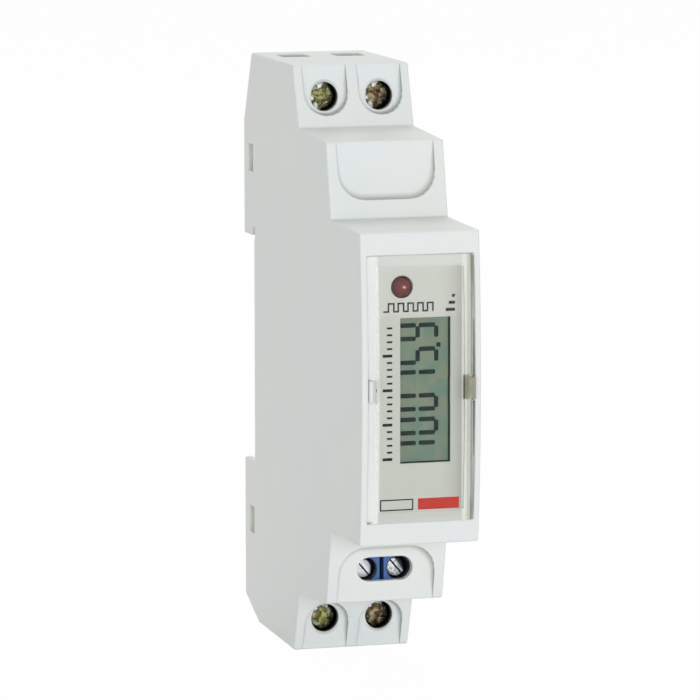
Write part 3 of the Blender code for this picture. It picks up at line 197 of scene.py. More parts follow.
class Finish(Sheet):
    """A procedural material: one Principled shader and what drives it."""

    def __init__(self, name, colour, roughness, metallic=0.0, **constants):
        self.slot = name
        self.material = bpy.data.materials.new(name)
        self.material.use_nodes = True
        super().__init__(self.material.node_tree)
        self.shader = self.tree.nodes["Principled BSDF"]
        self.set("Base Color", (*colour, 1.0))
        self.set("Roughness", roughness)
        self.set("Metallic", metallic)
        for label, value in constants.items():
            self.set(label.replace("_", " "), value)

    def set(self, label, value):
        self.feed(self.shader.inputs[label], value)

    def paint(self, first, second, share):
        """Base colour: the second over the first, by the share."""
        self.set("Base Color", self.blend(first, second, share))

    def place(self, stretch=(1, 1, 1), turn=(0, 0, 0)):
        """Object coordinates, stretched and turned by a Mapping node."""
        point = self.node("ShaderNodeTexCoord", None, None, "Object")
        if stretch == (1, 1, 1) and turn == (0, 0, 0):
            return point
        return self.node("ShaderNodeMapping", None,
                         {"Vector": point, "Scale": stretch, "Rotation": turn})

    def noise(self, point, scale, detail=2.0, roughness=0.5):
        return self.node("ShaderNodeTexNoise", None, {
            "Vector": point, "Scale": scale, "Detail": detail, "Roughness": roughness})

    def bump(self, height, distance, strength=0.3, edge=0.0):
        """Relief on the surface; edge is the radius that its corners look rounded by."""
        inputs = {"Height": height, "Distance": distance, "Strength": strength}
        if edge:
            inputs["Normal"] = self.node("ShaderNodeBevel", {"samples": 6}, {"Radius": edge})
        self.set("Normal", self.node("ShaderNodeBump", None, inputs))

    def mix_with(self, other, share):
        """Ends the material in a mix of its own shader and another one."""
        mixed = self.node("ShaderNodeMixShader", None,
                          {0: share, 1: Signal(self, self.shader.outputs[0]), 2: other})
        self.feed(self.tree.nodes["Material Output"].inputs["Surface"], mixed)


class Recipe(Sheet):
    """A Geometry Nodes tree with named inputs, made into plain meshes."""

    KINDS = {"Points": "Geometry", "Count": "Int", "Place": "Vector", "Material": "Material"}

    def __init__(self, name, inputs):
        super().__init__(bpy.data.node_groups.new(name, "GeometryNodeTree"))
        face = self.tree.interface
        for label in ("Points", *inputs, "Material"):
            kind = self.KINDS.get(label, "Float")
            face.new_socket(label, in_out="INPUT", socket_type="NodeSocket" + kind)
        face.new_socket("Shape", in_out="OUTPUT", socket_type="NodeSocketGeometry")
        self.given = self.tree.nodes.new("NodeGroupInput")

    def __getitem__(self, label):
        return Signal(self, self.given.outputs[label])

    def close(self, shape):
        """Ends the tree: instances made real, then the material."""
        real = self.geo("RealizeInstances", {0: shape})
        dressed = self.geo("SetMaterial", {"Geometry": real, "Material": self["Material"]})
        end = self.tree.nodes.new("NodeGroupOutput")
        self.feed(end.inputs[0], dressed)

    def geo(self, kind, inputs=None, **settings):
        """Adds a Geometry node; its settings are named."""
        return self.node("GeometryNode" + kind, settings, inputs)

    def cube(self, x, y, z):
        return self.geo("MeshCube", {"Size": self.vector(x, y, z)})

    def moved(self, shape, shift=(0.0, 0.0, 0.0), turn=(0.0, 0.0, 0.0)):
        return self.geo("Transform", {"Geometry": shape, "Translation": shift, "Rotation": turn})

    def joined(self, *shapes):
        return self.geo("JoinGeometry", {0: list(shapes)})

    def row(self):
        """Points from Place upwards: Count of them, each a Pitch above the last."""
        return self.geo("MeshLine", {
            "Count": self["Count"], "Start Location": self["Place"],
            "Offset": self.vector(0.0, 0.0, self["Pitch"])}, mode="OFFSET")

    def make(self, name, finish, points=None, **values):
        """Runs the tree and returns the result as an object with a plain mesh."""
        points = points or bpy.data.meshes.new(name + "_points")
        carrier = bpy.data.objects.new(name + "_carrier", points)
        bpy.context.collection.objects.link(carrier)
        modifier = carrier.modifiers.new("recipe", "NODES")
        modifier.node_group = self.tree
        values["Material"] = finish.material
        for item in self.tree.interface.items_tree:
            if item.in_out == "INPUT" and item.name in values:
                modifier[item.identifier] = values[item.name]
        return plain_copy(carrier, name)


def plain_copy(carrier, name):
    """The carrier's evaluated mesh as a new object; the carrier goes."""
    graph = bpy.context.evaluated_depsgraph_get()
    mesh = bpy.data.meshes.new_from_object(carrier.evaluated_get(graph))
    mesh.name = name
    carrier.modifiers.clear()
    bpy.data.objects.remove(carrier, do_unlink=True)
    piece = bpy.data.objects.new(name, mesh)
    bpy.context.collection.objects.link(piece)
    return piece


# Finishes

def moulded(name, colour, warm, roughness, edge=0.0):
    """Spark-eroded plastic with a slow drift in tone; also its point, grain and tone."""
    finish = Finish(name, colour, roughness)
    point = finish.place()
    grain = finish.noise(point, 1 / GRAIN_SIZE, 3.0, 0.6)
    tone = finish.blend(colour, warm, finish.noise(point, 60.0, 2.0).ramp(0.35, 0.7))
    finish.set("Base Color", tone)
    finish.set("Roughness", roughness - 0.06 + grain * 0.12)
    finish.bump(grain, GRAIN_DEPTH, 0.35, edge)
    return finish, point, grain, tone


def from_axis(finish, point, across, along, centre=0.0):
    """Distances from the nearest of four axes at (+-across, centre +- along), and their radius."""
    x, y, z = finish.parts(point)
    aside = x - ((x > 0.0) * 2.0 - 1.0) * across
    above = (z - centre) - ((z > centre) * 2.0 - 1.0) * along
    return aside, above, (aside * aside + above * above) ** 0.5


HOUSING_GREY, HOUSING_WARM = (0.735, 0.765, 0.760), (0.750, 0.772, 0.745)
HOUSING_ROUGHNESS = 0.46


def housing_plastic():
    finish, point, _, tone = moulded("housing_plastic", HOUSING_GREY, HOUSING_WARM,
                                     HOUSING_ROUGHNESS, edge=0.20 * MM)
    # painted shade in the bores of the four terminal screws
    depth = finish.parts(point)[1]
    reach = from_axis(finish, point, TERMINAL_X, TERMINAL_Z, MIDDLE_Z)[2]
    bore_shade = reach.ramp(2.75 * MM, 2.25 * MM) * depth.ramp(-22.0 * MM, -21.4 * MM)
    finish.paint(tone, (0.068, 0.078, 0.050), bore_shade * 0.9)
    return finish


def slot_foot():
    """Housing plastic where a slot's wall meets its floor, with painted shade towards the rim."""
    finish, _, _, tone = moulded("housing_plastic_foot", HOUSING_GREY, HOUSING_WARM,
                                 HOUSING_ROUGHNESS)
    wall_shade = finish.node("ShaderNodeAttribute", {"attribute_name": "height"}, None, "Fac")
    finish.paint(tone, (0.30, 0.32, 0.27), wall_shade ** 0.75)
    return finish


def clear_plastic():
    """Polished clear moulding; lamps and bounced light pass straight through it."""
    clear, gap_shade, dark = (0.985, 0.985, 0.980), (0.58, 0.57, 0.47), (0.30, 0.28, 0.18)
    finish = Finish("window_plastic", clear, 0.03, IOR=1.20, Transmission_Weight=1.0)
    # painted shade in the gap along the right-hand edge, darkest at the catch
    x, y, z = finish.parts(finish.place())
    inside = y.ramp(-57.45 * MM, -57.25 * MM)
    gap = x.ramp(6.80 * MM, 7.20 * MM) * x.ramp(7.50 * MM, 7.38 * MM)
    edge = finish.blend(clear, gap_shade, gap * inside)
    catch = abs(z - NOSE_Z).ramp(1.9 * MM, 1.7 * MM) * x.ramp(6.36 * MM, 6.62 * MM) * inside
    finish.paint(edge, dark, catch)
    open_way = finish.node("ShaderNodeBsdfTransparent", None, {"Color": (0.93, 0.94, 0.92, 1.0)})
    finish.mix_with(open_way, finish.rays(("Is Shadow Ray", "Is Diffuse Ray")))
    return finish


def label_film():
    """Printed film, shaded towards the right by the cover's side."""
    finish = Finish("label_print", (0.60, 0.62, 0.575), 0.5, Specular_IOR_Level=0.15)
    point = finish.place()
    fibre = finish.noise(point, 9000.0, 2.0)
    cloud = finish.noise(point, 220.0, 3.0)
    x, _, z = finish.parts(point)
    film = finish.blend((0.640, 0.645, 0.605), (0.610, 0.616, 0.570), cloud)
    shade = x.ramp(2.6 * MM, 6.4 * MM) * 0.45 + x.ramp(5.2 * MM, 6.2 * MM) * 0.35
    film = finish.blend(film, (0.42, 0.42, 0.385), shade)
    # painted light where the cover's hollow edge stands over the film, at its upper and lower
    # ends, more at the upper end
    level = z - NOSE_Z
    end = finish.blend((0.66, 0.655, 0.640), (0.745, 0.745, 0.735), level > 0.0)
    film = finish.blend(film, end, abs(level).ramp(17.5 * MM, 18.0 * MM))
    # a pale margin, with painted shade on the right-hand side
    side = finish.blend((0.93, 0.93, 0.935), (0.86, 0.86, 0.845), x > 0.0)
    margin = abs(x - 0.1 * MM).ramp(6.15 * MM, 6.55 * MM)
    finish.paint(film, side, margin)
    finish.set("Roughness", 0.44 + fibre * 0.14)
    finish.bump(fibre, 0.004 * MM, 0.3)
    return finish


def display_glass():
    """Reflective display: mottled grey-green polariser under a glossy face."""
    finish = Finish("display_glass", (0.20, 0.29, 0.21), 0.3, Coat_Weight=0.2,
                    Coat_Roughness=0.06, Specular_IOR_Level=0.15)
    point = finish.place()
    slanted = finish.place(stretch=(1.0, 1.0, 0.7), turn=(0.0, 0.6, 0.0))
    cloud = finish.noise(slanted, 560.0, 4.0, 0.62)
    speck = finish.noise(point, 3800.0, 2.0)
    green = finish.blend((0.142, 0.232, 0.182), (0.220, 0.252, 0.180), cloud.ramp(0.36, 0.64))
    finish.paint(green, (0.33, 0.37, 0.30), speck.ramp(0.5, 0.8) * 0.35)
    finish.set("Roughness", 0.26 + speck * 0.12)
    return finish


def ink(name, colour):
    """Printed ink with a fine grain."""
    finish = Finish(name, colour, 0.4, Specular_IOR_Level=0.1)
    point = finish.place()
    grain = finish.noise(point, 8000.0, 2.0)
    lighter = tuple(min(1.0, c * 1.25 + 0.01) for c in colour)
    finish.paint(colour, lighter, grain.ramp(0.45, 0.8))
    finish.set("Roughness", 0.34 + grain * 0.12)
    return finish


def led_lens():
    """Dark red lens, hazy and darker towards its rim, with a painted highlight beside its middle.
    """
    finish = Finish("led_lens", (0.135, 0.020, 0.015), 0.12, Specular_IOR_Level=0.03)
    point = finish.place()
    x, _, z = finish.parts(point)
    across, along = x - LED_X, z - LED_Z
    reach = (across * across + along * along) ** 0.5
    core = finish.blend((0.150, 0.021, 0.016), (0.060, 0.010, 0.008),
                        reach.ramp(0.6 * MM, LED_RADIUS))
    haze = finish.noise(point, 1500.0, 2.0)
    core = finish.blend(core, (0.20, 0.040, 0.033), haze.ramp(0.5, 0.9) * 0.4)
    # painted highlight, a little to the right of the middle
    highlight_reach = ((across - 0.2 * MM) * (across - 0.2 * MM) + along * along) ** 0.5
    painted_highlight = highlight_reach.ramp(0.26 * MM, 0.10 * MM)
    finish.paint(core, (0.72, 0.60, 0.58), painted_highlight)
    finish.set("Roughness", 0.10 + haze * 0.08)
    return finish


def plated(name, colour, tint, roughness, scale=900.0, streak=(1, 1, 1)):
    """Plated metal: patches of tint, fine scratches and a little unevenness."""
    finish = Finish(name, colour, roughness, 1.0)
    point = finish.place()
    patch = finish.noise(point, scale, 3.0, 0.6)
    scratch = finish.noise(finish.place(stretch=streak), 9000.0, 2.0)
    finish.paint(colour, tint, patch.ramp(0.38, 0.66))
    finish.set("Roughness", roughness - 0.08 + scratch * 0.2)
    finish.bump(scratch, 0.003 * MM, 0.25)
    return finish, point, patch


def yellow_zinc():
    """Passivated zinc with patches of tint: a dark face and a brighter recess as painted
    reflections, and painted glints at the slots' ends.
    """
    finish, point, patch = plated("screw_zinc", (0.30, 0.29, 0.16), (0.14, 0.15, 0.07), 0.27,
                                  1050.0)
    x, y, z = finish.parts(point)
    aside, above, reach = from_axis(finish, point, TERMINAL_X, TERMINAL_Z, MIDDLE_Z)
    right, upper = x > 0.0, z > 0.0
    fleck = patch.ramp(0.44, 0.56)
    speck = finish.noise(point, 3000.0, 2.0).ramp(0.56, 0.64)
    # painted reflections: a dark face and a brighter recess, over patches of tint
    face = finish.blend(finish.blend((0.060, 0.075, 0.036), (0.235, 0.250, 0.140), fleck),
                        finish.blend((0.055, 0.046, 0.030), (0.230, 0.195, 0.120), fleck), right)
    lit_recess = finish.blend(finish.blend((0.420, 0.430, 0.180), (0.125, 0.095, 0.040), fleck),
                        finish.blend((0.370, 0.330, 0.185), (0.110, 0.060, 0.040), fleck), right)
    sunk = y.ramp(SCREW_FRONT + 0.25 * MM, SCREW_FRONT + 0.5 * MM)
    recess = sunk * reach.ramp(1.75 * MM, 1.45 * MM)
    colour = finish.blend(face, lit_recess, recess)
    bright = speck * reach.ramp(0.7 * MM, 1.2 * MM) * 0.6
    colour = finish.blend(colour, (0.70, 0.71, 0.60), bright)
    # shade on the side away from the lamps and round the rim
    rim = reach.ramp(1.85 * MM, 2.1 * MM)
    lee = (aside - above * 0.35).ramp(1.2 * MM, 2.1 * MM).apply("MAXIMUM", rim)
    colour = finish.blend(colour, (0.012, 0.016, 0.010), lee * 0.50)
    low_shade = (1.0 - upper) * reach.ramp(0.9 * MM, 1.5 * MM) * 0.30
    colour = finish.blend(colour, (0.020, 0.024, 0.014), low_shade)
    # painted glints, whiter and less metallic: at the slots' ends on the upper screws, at the
    # edge's top on the lower ones
    angle = above.apply("ARCTAN2", aside)
    ends = angle.near(1.66, 0.42) + abs(angle).near(2.98, 0.30) + angle.near(-2.05, 0.44)
    edge = angle.near(2.26, 0.20) + angle.near(1.22, 0.24)
    painted_glint = (ends * reach.ramp(1.20 * MM, 1.36 * MM) * upper
            + edge * reach.ramp(1.30 * MM, 1.50 * MM) * (1.0 - upper) * 0.85)
    painted_glint = painted_glint.apply("MINIMUM", 1.0)
    finish.paint(colour, (0.98, 0.98, 0.95), painted_glint)
    finish.set("Metallic", 1.0 - painted_glint * 0.75)
    return finish


def pulse_steel():
    """Bright zinc with painted light on one side and painted shade on the other and in the slot.
    """
    finish, point, patch = plated("pulse_screw_steel", (0.90, 0.91, 0.95), (0.62, 0.64, 0.70),
                                  0.3, 2600.0)
    x, y, _ = finish.parts(point)
    aside, above, reach = from_axis(finish, point, PULSE_X, -PULSE_Z)
    fleck = patch.ramp(0.46, 0.58)
    right = x > 0.0
    # painted light on one side, painted shade on the other, darker on the right-hand screw
    flecked = finish.blend((0.84, 0.86, 0.93), (0.50, 0.55, 0.62), right)
    bright = finish.blend((1.0, 1.0, 1.0), flecked, fleck)
    shaded_side = finish.blend((0.56, 0.59, 0.67), (0.050, 0.056, 0.062), right)
    lee = (aside + above * 0.75).ramp(0.45 * MM, 1.00 * MM)
    colour = finish.blend(bright, shaded_side, lee)
    # the slot painted dark as shade
    sunk = y.ramp(PULSE_FRONT + 0.16 * MM, PULSE_FRONT + 0.32 * MM)
    slot = sunk * reach.ramp(1.40 * MM, 1.34 * MM)
    finish.paint(colour, (0.030, 0.033, 0.040), slot)
    finish.set("Metallic", 1.0 - (1.0 - lee) * (1.0 - slot) * 0.6)
    return finish


def block_blue():
    """Blue moulding, painted near black as shade round its screws, along its middle and at its
    ends.
    """
    finish, point, grain, _ = moulded("pulse_blue", (0.050, 0.150, 0.440), (0.065, 0.180, 0.480),
                                      0.36)
    x = finish.parts(point)[0]
    reach = from_axis(finish, point, PULSE_X, -PULSE_Z)[2]
    blue_grain = finish.blend((0.045, 0.120, 0.330), (0.060, 0.150, 0.380), grain)
    shade = reach.ramp(1.98 * MM, 1.72 * MM)
    for near, far in ((3.8, 4.1), (0.34, 0.26)):
        shade = shade.apply("MAXIMUM", abs(x).ramp(near * MM, far * MM))
    finish.paint(blue_grain, (0.006, 0.009, 0.016), shade * 0.96)
    return finish


def tinned(name, colour, tint):
    """Rolled strip, streaked along its length."""
    return plated(name, colour, tint, 0.34, 500.0, (1, 1, 0.05))[0]


def coated(name, colour, second, roughness, scale, coat=0.0):
    """Cast, dipped or moulded small component."""
    finish = Finish(name, colour, roughness, Coat_Weight=coat)
    point = finish.place()
    grain = finish.noise(point, scale, 3.0, 0.6)
    finish.paint(colour, second, grain.ramp(0.4, 0.7))
    finish.set("Roughness", roughness - 0.05 + grain * 0.1)
    finish.bump(grain, 0.01 * MM, 0.25)
    return finish


def board_laminate():
    """Solder mask over copper tracks: lighter lines and round lands on green."""
    finish = Finish("board_laminate", (0.03, 0.16, 0.07), 0.35, Coat_Weight=0.3)
    point = finish.place()
    weave = finish.noise(point, 7000.0, 1.0)
    cells = finish.node("ShaderNodeTexVoronoi", {"distance": "CHEBYCHEV", "feature": "F1"},
                        {"Vector": point, "Scale": 420.0}, "Distance")
    lands = finish.node("ShaderNodeTexVoronoi", None, {"Vector": point, "Scale": 330.0},
                        "Distance")
    track, land = cells.ramp(0.30, 0.34), lands.ramp(0.13, 0.11)
    mask = finish.blend((0.020, 0.125, 0.050), (0.045, 0.215, 0.090), track)
    finish.paint(mask, (0.60, 0.58, 0.52), land)
    finish.set("Metallic", land * 0.8)
    finish.set("Roughness", 0.30 + weave * 0.1)
    finish.bump(track, 0.02 * MM, 0.2)
    return finish


HOUSING = housing_plastic()
COVE = slot_foot()
# the right catch's tip, painted dark as the shade it stands in
SHADED_TIP = moulded("catch_plastic", (0.27, 0.26, 0.20), (0.31, 0.295, 0.225), 0.5)[0]
BASE = moulded("base_plastic", (0.54, 0.525, 0.435), (0.57, 0.55, 0.46), 0.5)[0]
CLIP = moulded("clip_plastic", (0.20, 0.21, 0.21), (0.22, 0.225, 0.22), 0.5)[0]
BLUE = block_blue()
HOLDER = moulded("holder_plastic", (0.60, 0.60, 0.58), (0.62, 0.61, 0.58), 0.5)[0]
CLEAR = clear_plastic()
LABEL = label_film()
DISPLAY = display_glass()
BLACK_INK = ink("black_ink", (0.010, 0.010, 0.011))
RED_INK = ink("red_ink", (0.56, 0.045, 0.035))
SEGMENT_INK = ink("segment_dark", (0.008, 0.018, 0.017))
LENS = led_lens()
ZINC = yellow_zinc()
STEEL = pulse_steel()
NICKEL = plated("clamp_nickel", (0.56, 0.55, 0.51), (0.46, 0.45, 0.41), 0.32, 700.0)[0]
SPRING = plated("spring_steel", (0.45, 0.45, 0.46), (0.36, 0.36, 0.38), 0.3, 900.0)[0]
TINNED = tinned("tinned_copper", (0.64, 0.60, 0.54), (0.55, 0.50, 0.43))
ALLOY = tinned("shunt_alloy", (0.50, 0.36, 0.25), (0.42, 0.29, 0.20))
RUBBER = coated("strip_rubber", (0.035, 0.035, 0.035), (0.06, 0.06, 0.06), 0.8, 3000.0)
BOARD = board_laminate()
EPOXY = coated("chip_epoxy", (0.018, 0.018, 0.020), (0.03, 0.03, 0.032), 0.5, 6000.0)
WHITE_EPOXY = coated("optocoupler_epoxy", (0.60, 0.60, 0.57), (0.66, 0.66, 0.63), 0.5, 5000.0)
YELLOW = coated("capacitor_yellow", (0.60, 0.43, 0.05), (0.66, 0.49, 0.09), 0.35, 1200.0, 0.3)
SLEEVE = coated("electrolytic_sleeve", (0.016, 0.024, 0.055), (0.03, 0.04, 0.08), 0.3, 900.0, 0.4)
DIPPED = coated("varistor_blue", (0.025, 0.085, 0.30), (0.04, 0.11, 0.36), 0.4, 1300.0, 0.4)
CEMENT = coated("resistor_ceramic", (0.10, 0.26, 0.20), (0.15, 0.31, 0.25), 0.6, 2500.0)

# The CAD solids that stay in view as they are
CAD_FINISH = {
    "label_plate": LABEL, "lcd_glass": DISPLAY, "lcd_holder": HOLDER,
    "contact_strip_left": RUBBER, "contact_strip_right": RUBBER,
}


# Pieces

def hand_over(piece, body, slot, *nodes):
    """Attaches the piece to the body that it rides on and hides the nodes it stands for; its
    finish slot is not used.
    """
    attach(piece, body)
    if nodes:
        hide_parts(*nodes)
    return piece


def solid(name, form, finish):
    """The form as an object in the finish; the form is freed."""
    mesh = bpy.data.meshes.new(name)
    form.to_mesh(mesh)
    form.free()
    mesh.materials.append(finish.material)
    piece = bpy.data.objects.new(name, mesh)
    bpy.context.collection.objects.link(piece)
    return piece


def shade(piece, degrees):
    """Smooth shading, broken at edges sharper than the angle."""
    piece.data.shade_smooth()
    piece.data.set_sharp_from_angle(angle=math.radians(degrees))
    return piece


def cuboid(centre, size):
    form = bmesh.new()
    bmesh.ops.create_cube(form, size=1.0)
    form.transform(Matrix.Translation(centre) @ Matrix.Diagonal((*size, 1.0)))
    return form


def bridge(form, first, second):
    """A band of faces between two rings of as many points."""
    for i in range(len(first)):
        j = (i + 1) % len(first)
        form.faces.new((first[i], first[j], second[j], second[i]))


def in_millimetres(sizes):
    return {label: value * MM for label, value in sizes.items()}


def softened(node, name, finish, width, segments=2, angle=50, body="housing"):
    """The node's own form with its sharp edges rounded (width in mm) and its curves smoothed."""
    form = bmesh.new()
    form.from_mesh(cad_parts[node].data)
    bmesh.ops.remove_doubles(form, verts=form.verts, dist=0.002 * MM)
    bmesh.ops.dissolve_limit(form, angle_limit=math.radians(0.3), verts=form.verts,
                             edges=form.edges)
    share = form.edges.layers.float.new("bevel_weight_edge")
    for edge in form.edges:
        outer = edge.is_manifold and edge.is_convex
        edge[share] = 1.0 if outer and edge.calc_face_angle() > math.radians(angle) else 0.0
    carrier = solid(name + "_form", form, finish)
    carrier.data.shade_smooth()
    bevel = carrier.modifiers.new("edge_round", "BEVEL")
    bevel.width = width * MM
    bevel.segments = segments
    bevel.limit_method = "WEIGHT"
    bevel.use_clamp_overlap = False
    bevel.miter_outer = "MITER_ARC"
    weighted = carrier.modifiers.new("even_shading", "WEIGHTED_NORMAL")
    weighted.weight = 80
    return hand_over(plain_copy(carrier, name), body, finish.slot, node)


def plates(name, rectangles, front, finish, slot):
    """Thin printed fields, each a rectangle (x0, x1, z0, z1) in millimetres."""
    form = bmesh.new()
    for x0, x1, z0, z1 in rectangles:
        corners = [(x0, z0), (x1, z0), (x1, z1), (x0, z1)]
        near, far = ([form.verts.new((x * MM, y, z * MM)) for x, z in corners]
                     for y in (front - INK, front))
        form.faces.new(near)
        form.faces.new(reversed(far))
        bridge(form, near, far)
    bmesh.ops.recalc_face_normals(form, faces=form.faces)
    hand_over(solid(name, form, finish), "housing", slot)


def make_mouldings():
    softened("housing_shell", "housing_moulding", HOUSING, 0.12)
    softened("rear_base", "base_moulding", BASE, 0.12)
    softened("rail_clip", "clip_moulding", CLIP, 0.2, segments=3, body="rail_clip")
    softened("pulse_block", "pulse_block_moulding", BLUE, 0.08)


def make_spring():
    """The rail clip's coil, softened, on a mesh of its own."""
    coil = softened("clip_spring", "clip_spring_coil", SPRING, 0.02, angle=120)
    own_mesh(coil)


# The slots in the stepped front, in millimetres from the housing's middle height: half width,
# closed end, corner radius, open end, largest rounding, and (z, y) twice for floor and front
GROOVE = (3.4, 36.7, 3.298, 44.0, 0.5, (36.7, -22.427, 44.2, -21.4), (35.0, -24.6, 44.2, -21.5))
RECESS = (7.4, 25.7, 4.0, 33.9, 0.9, (25.7, -39.092, 34.1, -38.6), (23.0, -41.2, 34.1, -38.7))


def slot_path(half_width, closed, corner, opening, steps=14):
    """Points up one side of a slot, round its closed end and back: place and inward normal."""
    inner, run = closed + corner, half_width - corner
    climb = [opening + (inner - opening) * i / steps for i in range(steps)]
    path = [(-half_width, v, 1.0, 0.0) for v in climb]
    for centre, start in ((-run, 180), (run, 270)):
        for i in range(steps + 1):
            turn = math.radians(start + 90 * i / steps)
            cos, sin = math.cos(turn), math.sin(turn)
            path.append((centre + corner * cos, inner + corner * sin, -cos, -sin))
    return path + [(half_width, v, -1.0, 0.0) for v in reversed(climb)]


def slope(near_z, near_y, far_z, far_y):
    return lambda z: near_y + (z - near_z) / (far_z - near_z) * (far_y - near_y)


def make_cove(name, middle_x, side, slot):
    """Hollow rounding where a slot's wall meets its floor, dying out towards the open end."""
    path = slot_path(*(size * MM for size in slot[:4]))
    largest, sunk = slot[4] * MM, 0.03 * MM
    floor, front = (slope(*(size * MM for size in line)) for line in slot[5:])
    quarter = [math.radians(90 * i / 10) for i in range(11)]
    form = bmesh.new()
    # share of painted shade at each point, kept in the height attribute
    wall_shade = form.verts.layers.float.new("height")
    rings = []
    for u, v, inward_u, inward_v in path:
        rise = 0.92 * (floor(v) - front(v))
        run = max(0.05 * MM, min(largest, 0.8 * rise))
        # painted shade, strongest on right-hand walls
        wall_shade_weight = min(1.0, rise / (0.3 * MM)) * (0.65 - 0.35 * inward_u)  # left-hand walls least
        profile = [(run - run * math.cos(a), rise - rise * math.sin(a)) for a in quarter]
        ring = []
        for reach, height in [(-sunk, rise), *profile, (run, -sunk), (-sunk, -sunk)]:
            level = v + inward_v * reach
            ring.append(form.verts.new((middle_x + u + inward_u * reach, floor(level) - height,
                                        MIDDLE_Z + side * level)))
            ring[-1][wall_shade] = max(0.0, height / rise) * wall_shade_weight
        rings.append(ring)
    for a, b in zip(rings, rings[1:]):
        bridge(form, a, b)
    form.faces.new(rings[0])
    form.faces.new(reversed(rings[-1]))
    bmesh.ops.remove_doubles(form, verts=form.verts, dist=0.0005 * MM)
    bmesh.ops.recalc_face_normals(form, faces=form.faces)
    hand_over(shade(solid(name, form, COVE), 32), "housing", "housing_plastic")


def make_coves():
    """In six slots: four round the terminal screws and two in the middle tiers."""
    for side, level in ((1, "top"), (-1, "bottom")):
        make_cove(f"recess_cove_{level}", 0.0, side, RECESS)
        for x, hand in ((-TERMINAL_X, "left"), (TERMINAL_X, "right")):
            make_cove(f"groove_cove_{level}_{hand}", x, side, GROOVE)


def nose_surface(z):
    """y of the nose's convex front at the height z above the nose's middle."""
    return NOSE_EDGE - NOSE_BULGE * (1 - (z / NOSE_HALF_HEIGHT) ** 2)


def window_ring(form, half_x, half_z, radius, level, steps=44):
    """Upright rounded rectangle of points; the level gives y from the height."""
    run, right = half_z - radius, []
    for i in range(5):
        a = math.radians(-90 + 22.5 * i)
        right.append((half_x - radius + radius * math.cos(a), -run + radius * math.sin(a)))
    right += [(half_x, -run + 2 * run * i / steps) for i in range(1, steps)]
    right += [(x, -z) for x, z in right[4::-1]]
    points = right + [(-x, z) for x, z in right[::-1]]
    return [form.verts.new((x, level(z), NOSE_Z + z)) for x, z in points]


def span(form, ring):
    """Closes a ring with strips from its right side to its left."""
    last = len(ring) - 1
    for i in range(len(ring) // 2 - 1):
        form.faces.new((ring[i], ring[i + 1], ring[last - i - 1], ring[last - i]))


def make_window():
    """Clear cover that follows the nose: rounded edges, hollow back, a notch for each catch."""
    rise, turn, plan, inward = 1.1 * MM, 0.6 * MM, 0.3 * MM, 0.25 * MM
    form = bmesh.new()
    outer = [window_ring(form, WINDOW_HALF_WIDTH, WINDOW_HALF_HEIGHT, plan, lambda z: WINDOW_FOOT)]
    for i in range(7):
        a = math.radians(90 * i / 6)
        inset, lift = turn * (1 - math.cos(a)), rise - turn + turn * math.sin(a)
        outer.append(window_ring(form, WINDOW_HALF_WIDTH - inset, WINDOW_HALF_HEIGHT - inset,
                                 max(plan - inset, 0.03 * MM),
                                 lambda z, lift=lift: nose_surface(z) - lift))
    hollow = (HOLLOW_HALF_WIDTH, HOLLOW_HALF_HEIGHT, plan)
    inner = [window_ring(form, *hollow, lambda z: WINDOW_FOOT),
             window_ring(form, *hollow, lambda z: nose_surface(z) + inward),
             window_ring(form, HOLLOW_HALF_WIDTH - inward, HOLLOW_HALF_HEIGHT - inward, 0.2 * MM,
                         nose_surface)]
    for rings in (outer, inner):
        for a, b in zip(rings, rings[1:]):
            bridge(form, a, b)
        span(form, rings[-1])
    bridge(form, outer[0], inner[0])
    bmesh.ops.recalc_face_normals(form, faces=form.faces)
    carrier = solid("clear_window_form", form, CLEAR)
    cutters = []
    for x in (-8.0 * MM, 8.0 * MM):
        notch = cuboid((x, -57.4 * MM, NOSE_Z), (1.8 * MM, 2.8 * MM, 3.5 * MM))
        cutters.append(solid("notch", notch, CLEAR))
        modifier = carrier.modifiers.new("notch", "BOOLEAN")
        modifier.operation = "DIFFERENCE"
        modifier.solver = "EXACT"
        modifier.object = cutters[-1]
    piece = plain_copy(carrier, "clear_window")
    for cutter in cutters:
        bpy.data.objects.remove(cutter, do_unlink=True)
    hand_over(shade(piece, 32), "housing", "window_plastic", "window_cover")


def make_catch_tabs():
    """Rounded tips of the two catches that show in the window's notches."""
    # the right-hand tip has a dark finish: painted shade
    for hand, x, wide, finish in (("left", -7.76, 0.42, COVE), ("right", 7.54, 0.84, SHADED_TIP)):
        form = cuboid((x * MM, CATCH_Y, NOSE_Z), (wide * MM, 1.2 * MM, 3.2 * MM))
        bmesh.ops.bevel(form, geom=form.edges[:], offset=0.12 * MM, segments=3, profile=0.5,
                        affect="EDGES")
        piece = solid(f"catch_tip_{hand}", form, finish)
        hand_over(shade(piece, 50), "housing", "housing_plastic")


def make_metal():
    for corner in SCREW_TURNED:
        node = f"terminal_clamp_{corner}"
        softened(node, f"clamp_{corner}", NICKEL, 0.15, body=node)
    for side in ("left", "right"):
        node = f"pulse_clamp_{side}"
        softened(node, f"small_clamp_{side}", NICKEL, 0.08, body=node)
        softened(f"pulse_contact_{side}", f"contact_blade_{side}", TINNED, 0.06)
    for node, finish in (("phase_bar_top", TINNED), ("phase_bar_bottom", TINNED),
                         ("neutral_bar", TINNED), ("current_shunt", ALLOY)):
        softened(node, node + "_rolled", finish, 0.1)


TERMINAL_SCREW = {
    "Head Radius": 2.35, "Head Height": 2.0, "Dome": 0.9, "Shank Radius": 1.5, "Length": 11.3,
    "Thread Pitch": 0.6, "Thread Depth": 0.16, "Slot Width": 0.8, "Slot Depth": 0.9,
    "Cross Span": 3.3, "Cross Width": 1.0, "Cross Depth": 1.2}
PULSE_SCREW = {
    "Head Radius": 1.42, "Head Height": 1.3, "Dome": 0.3, "Shank Radius": 0.9, "Length": 5.4,
    "Thread Pitch": 0.45, "Thread Depth": 0.11, "Slot Width": 0.26, "Slot Depth": 0.5,
    "Cross Span": 0.3, "Cross Width": 0.3, "Cross Depth": 0.3}


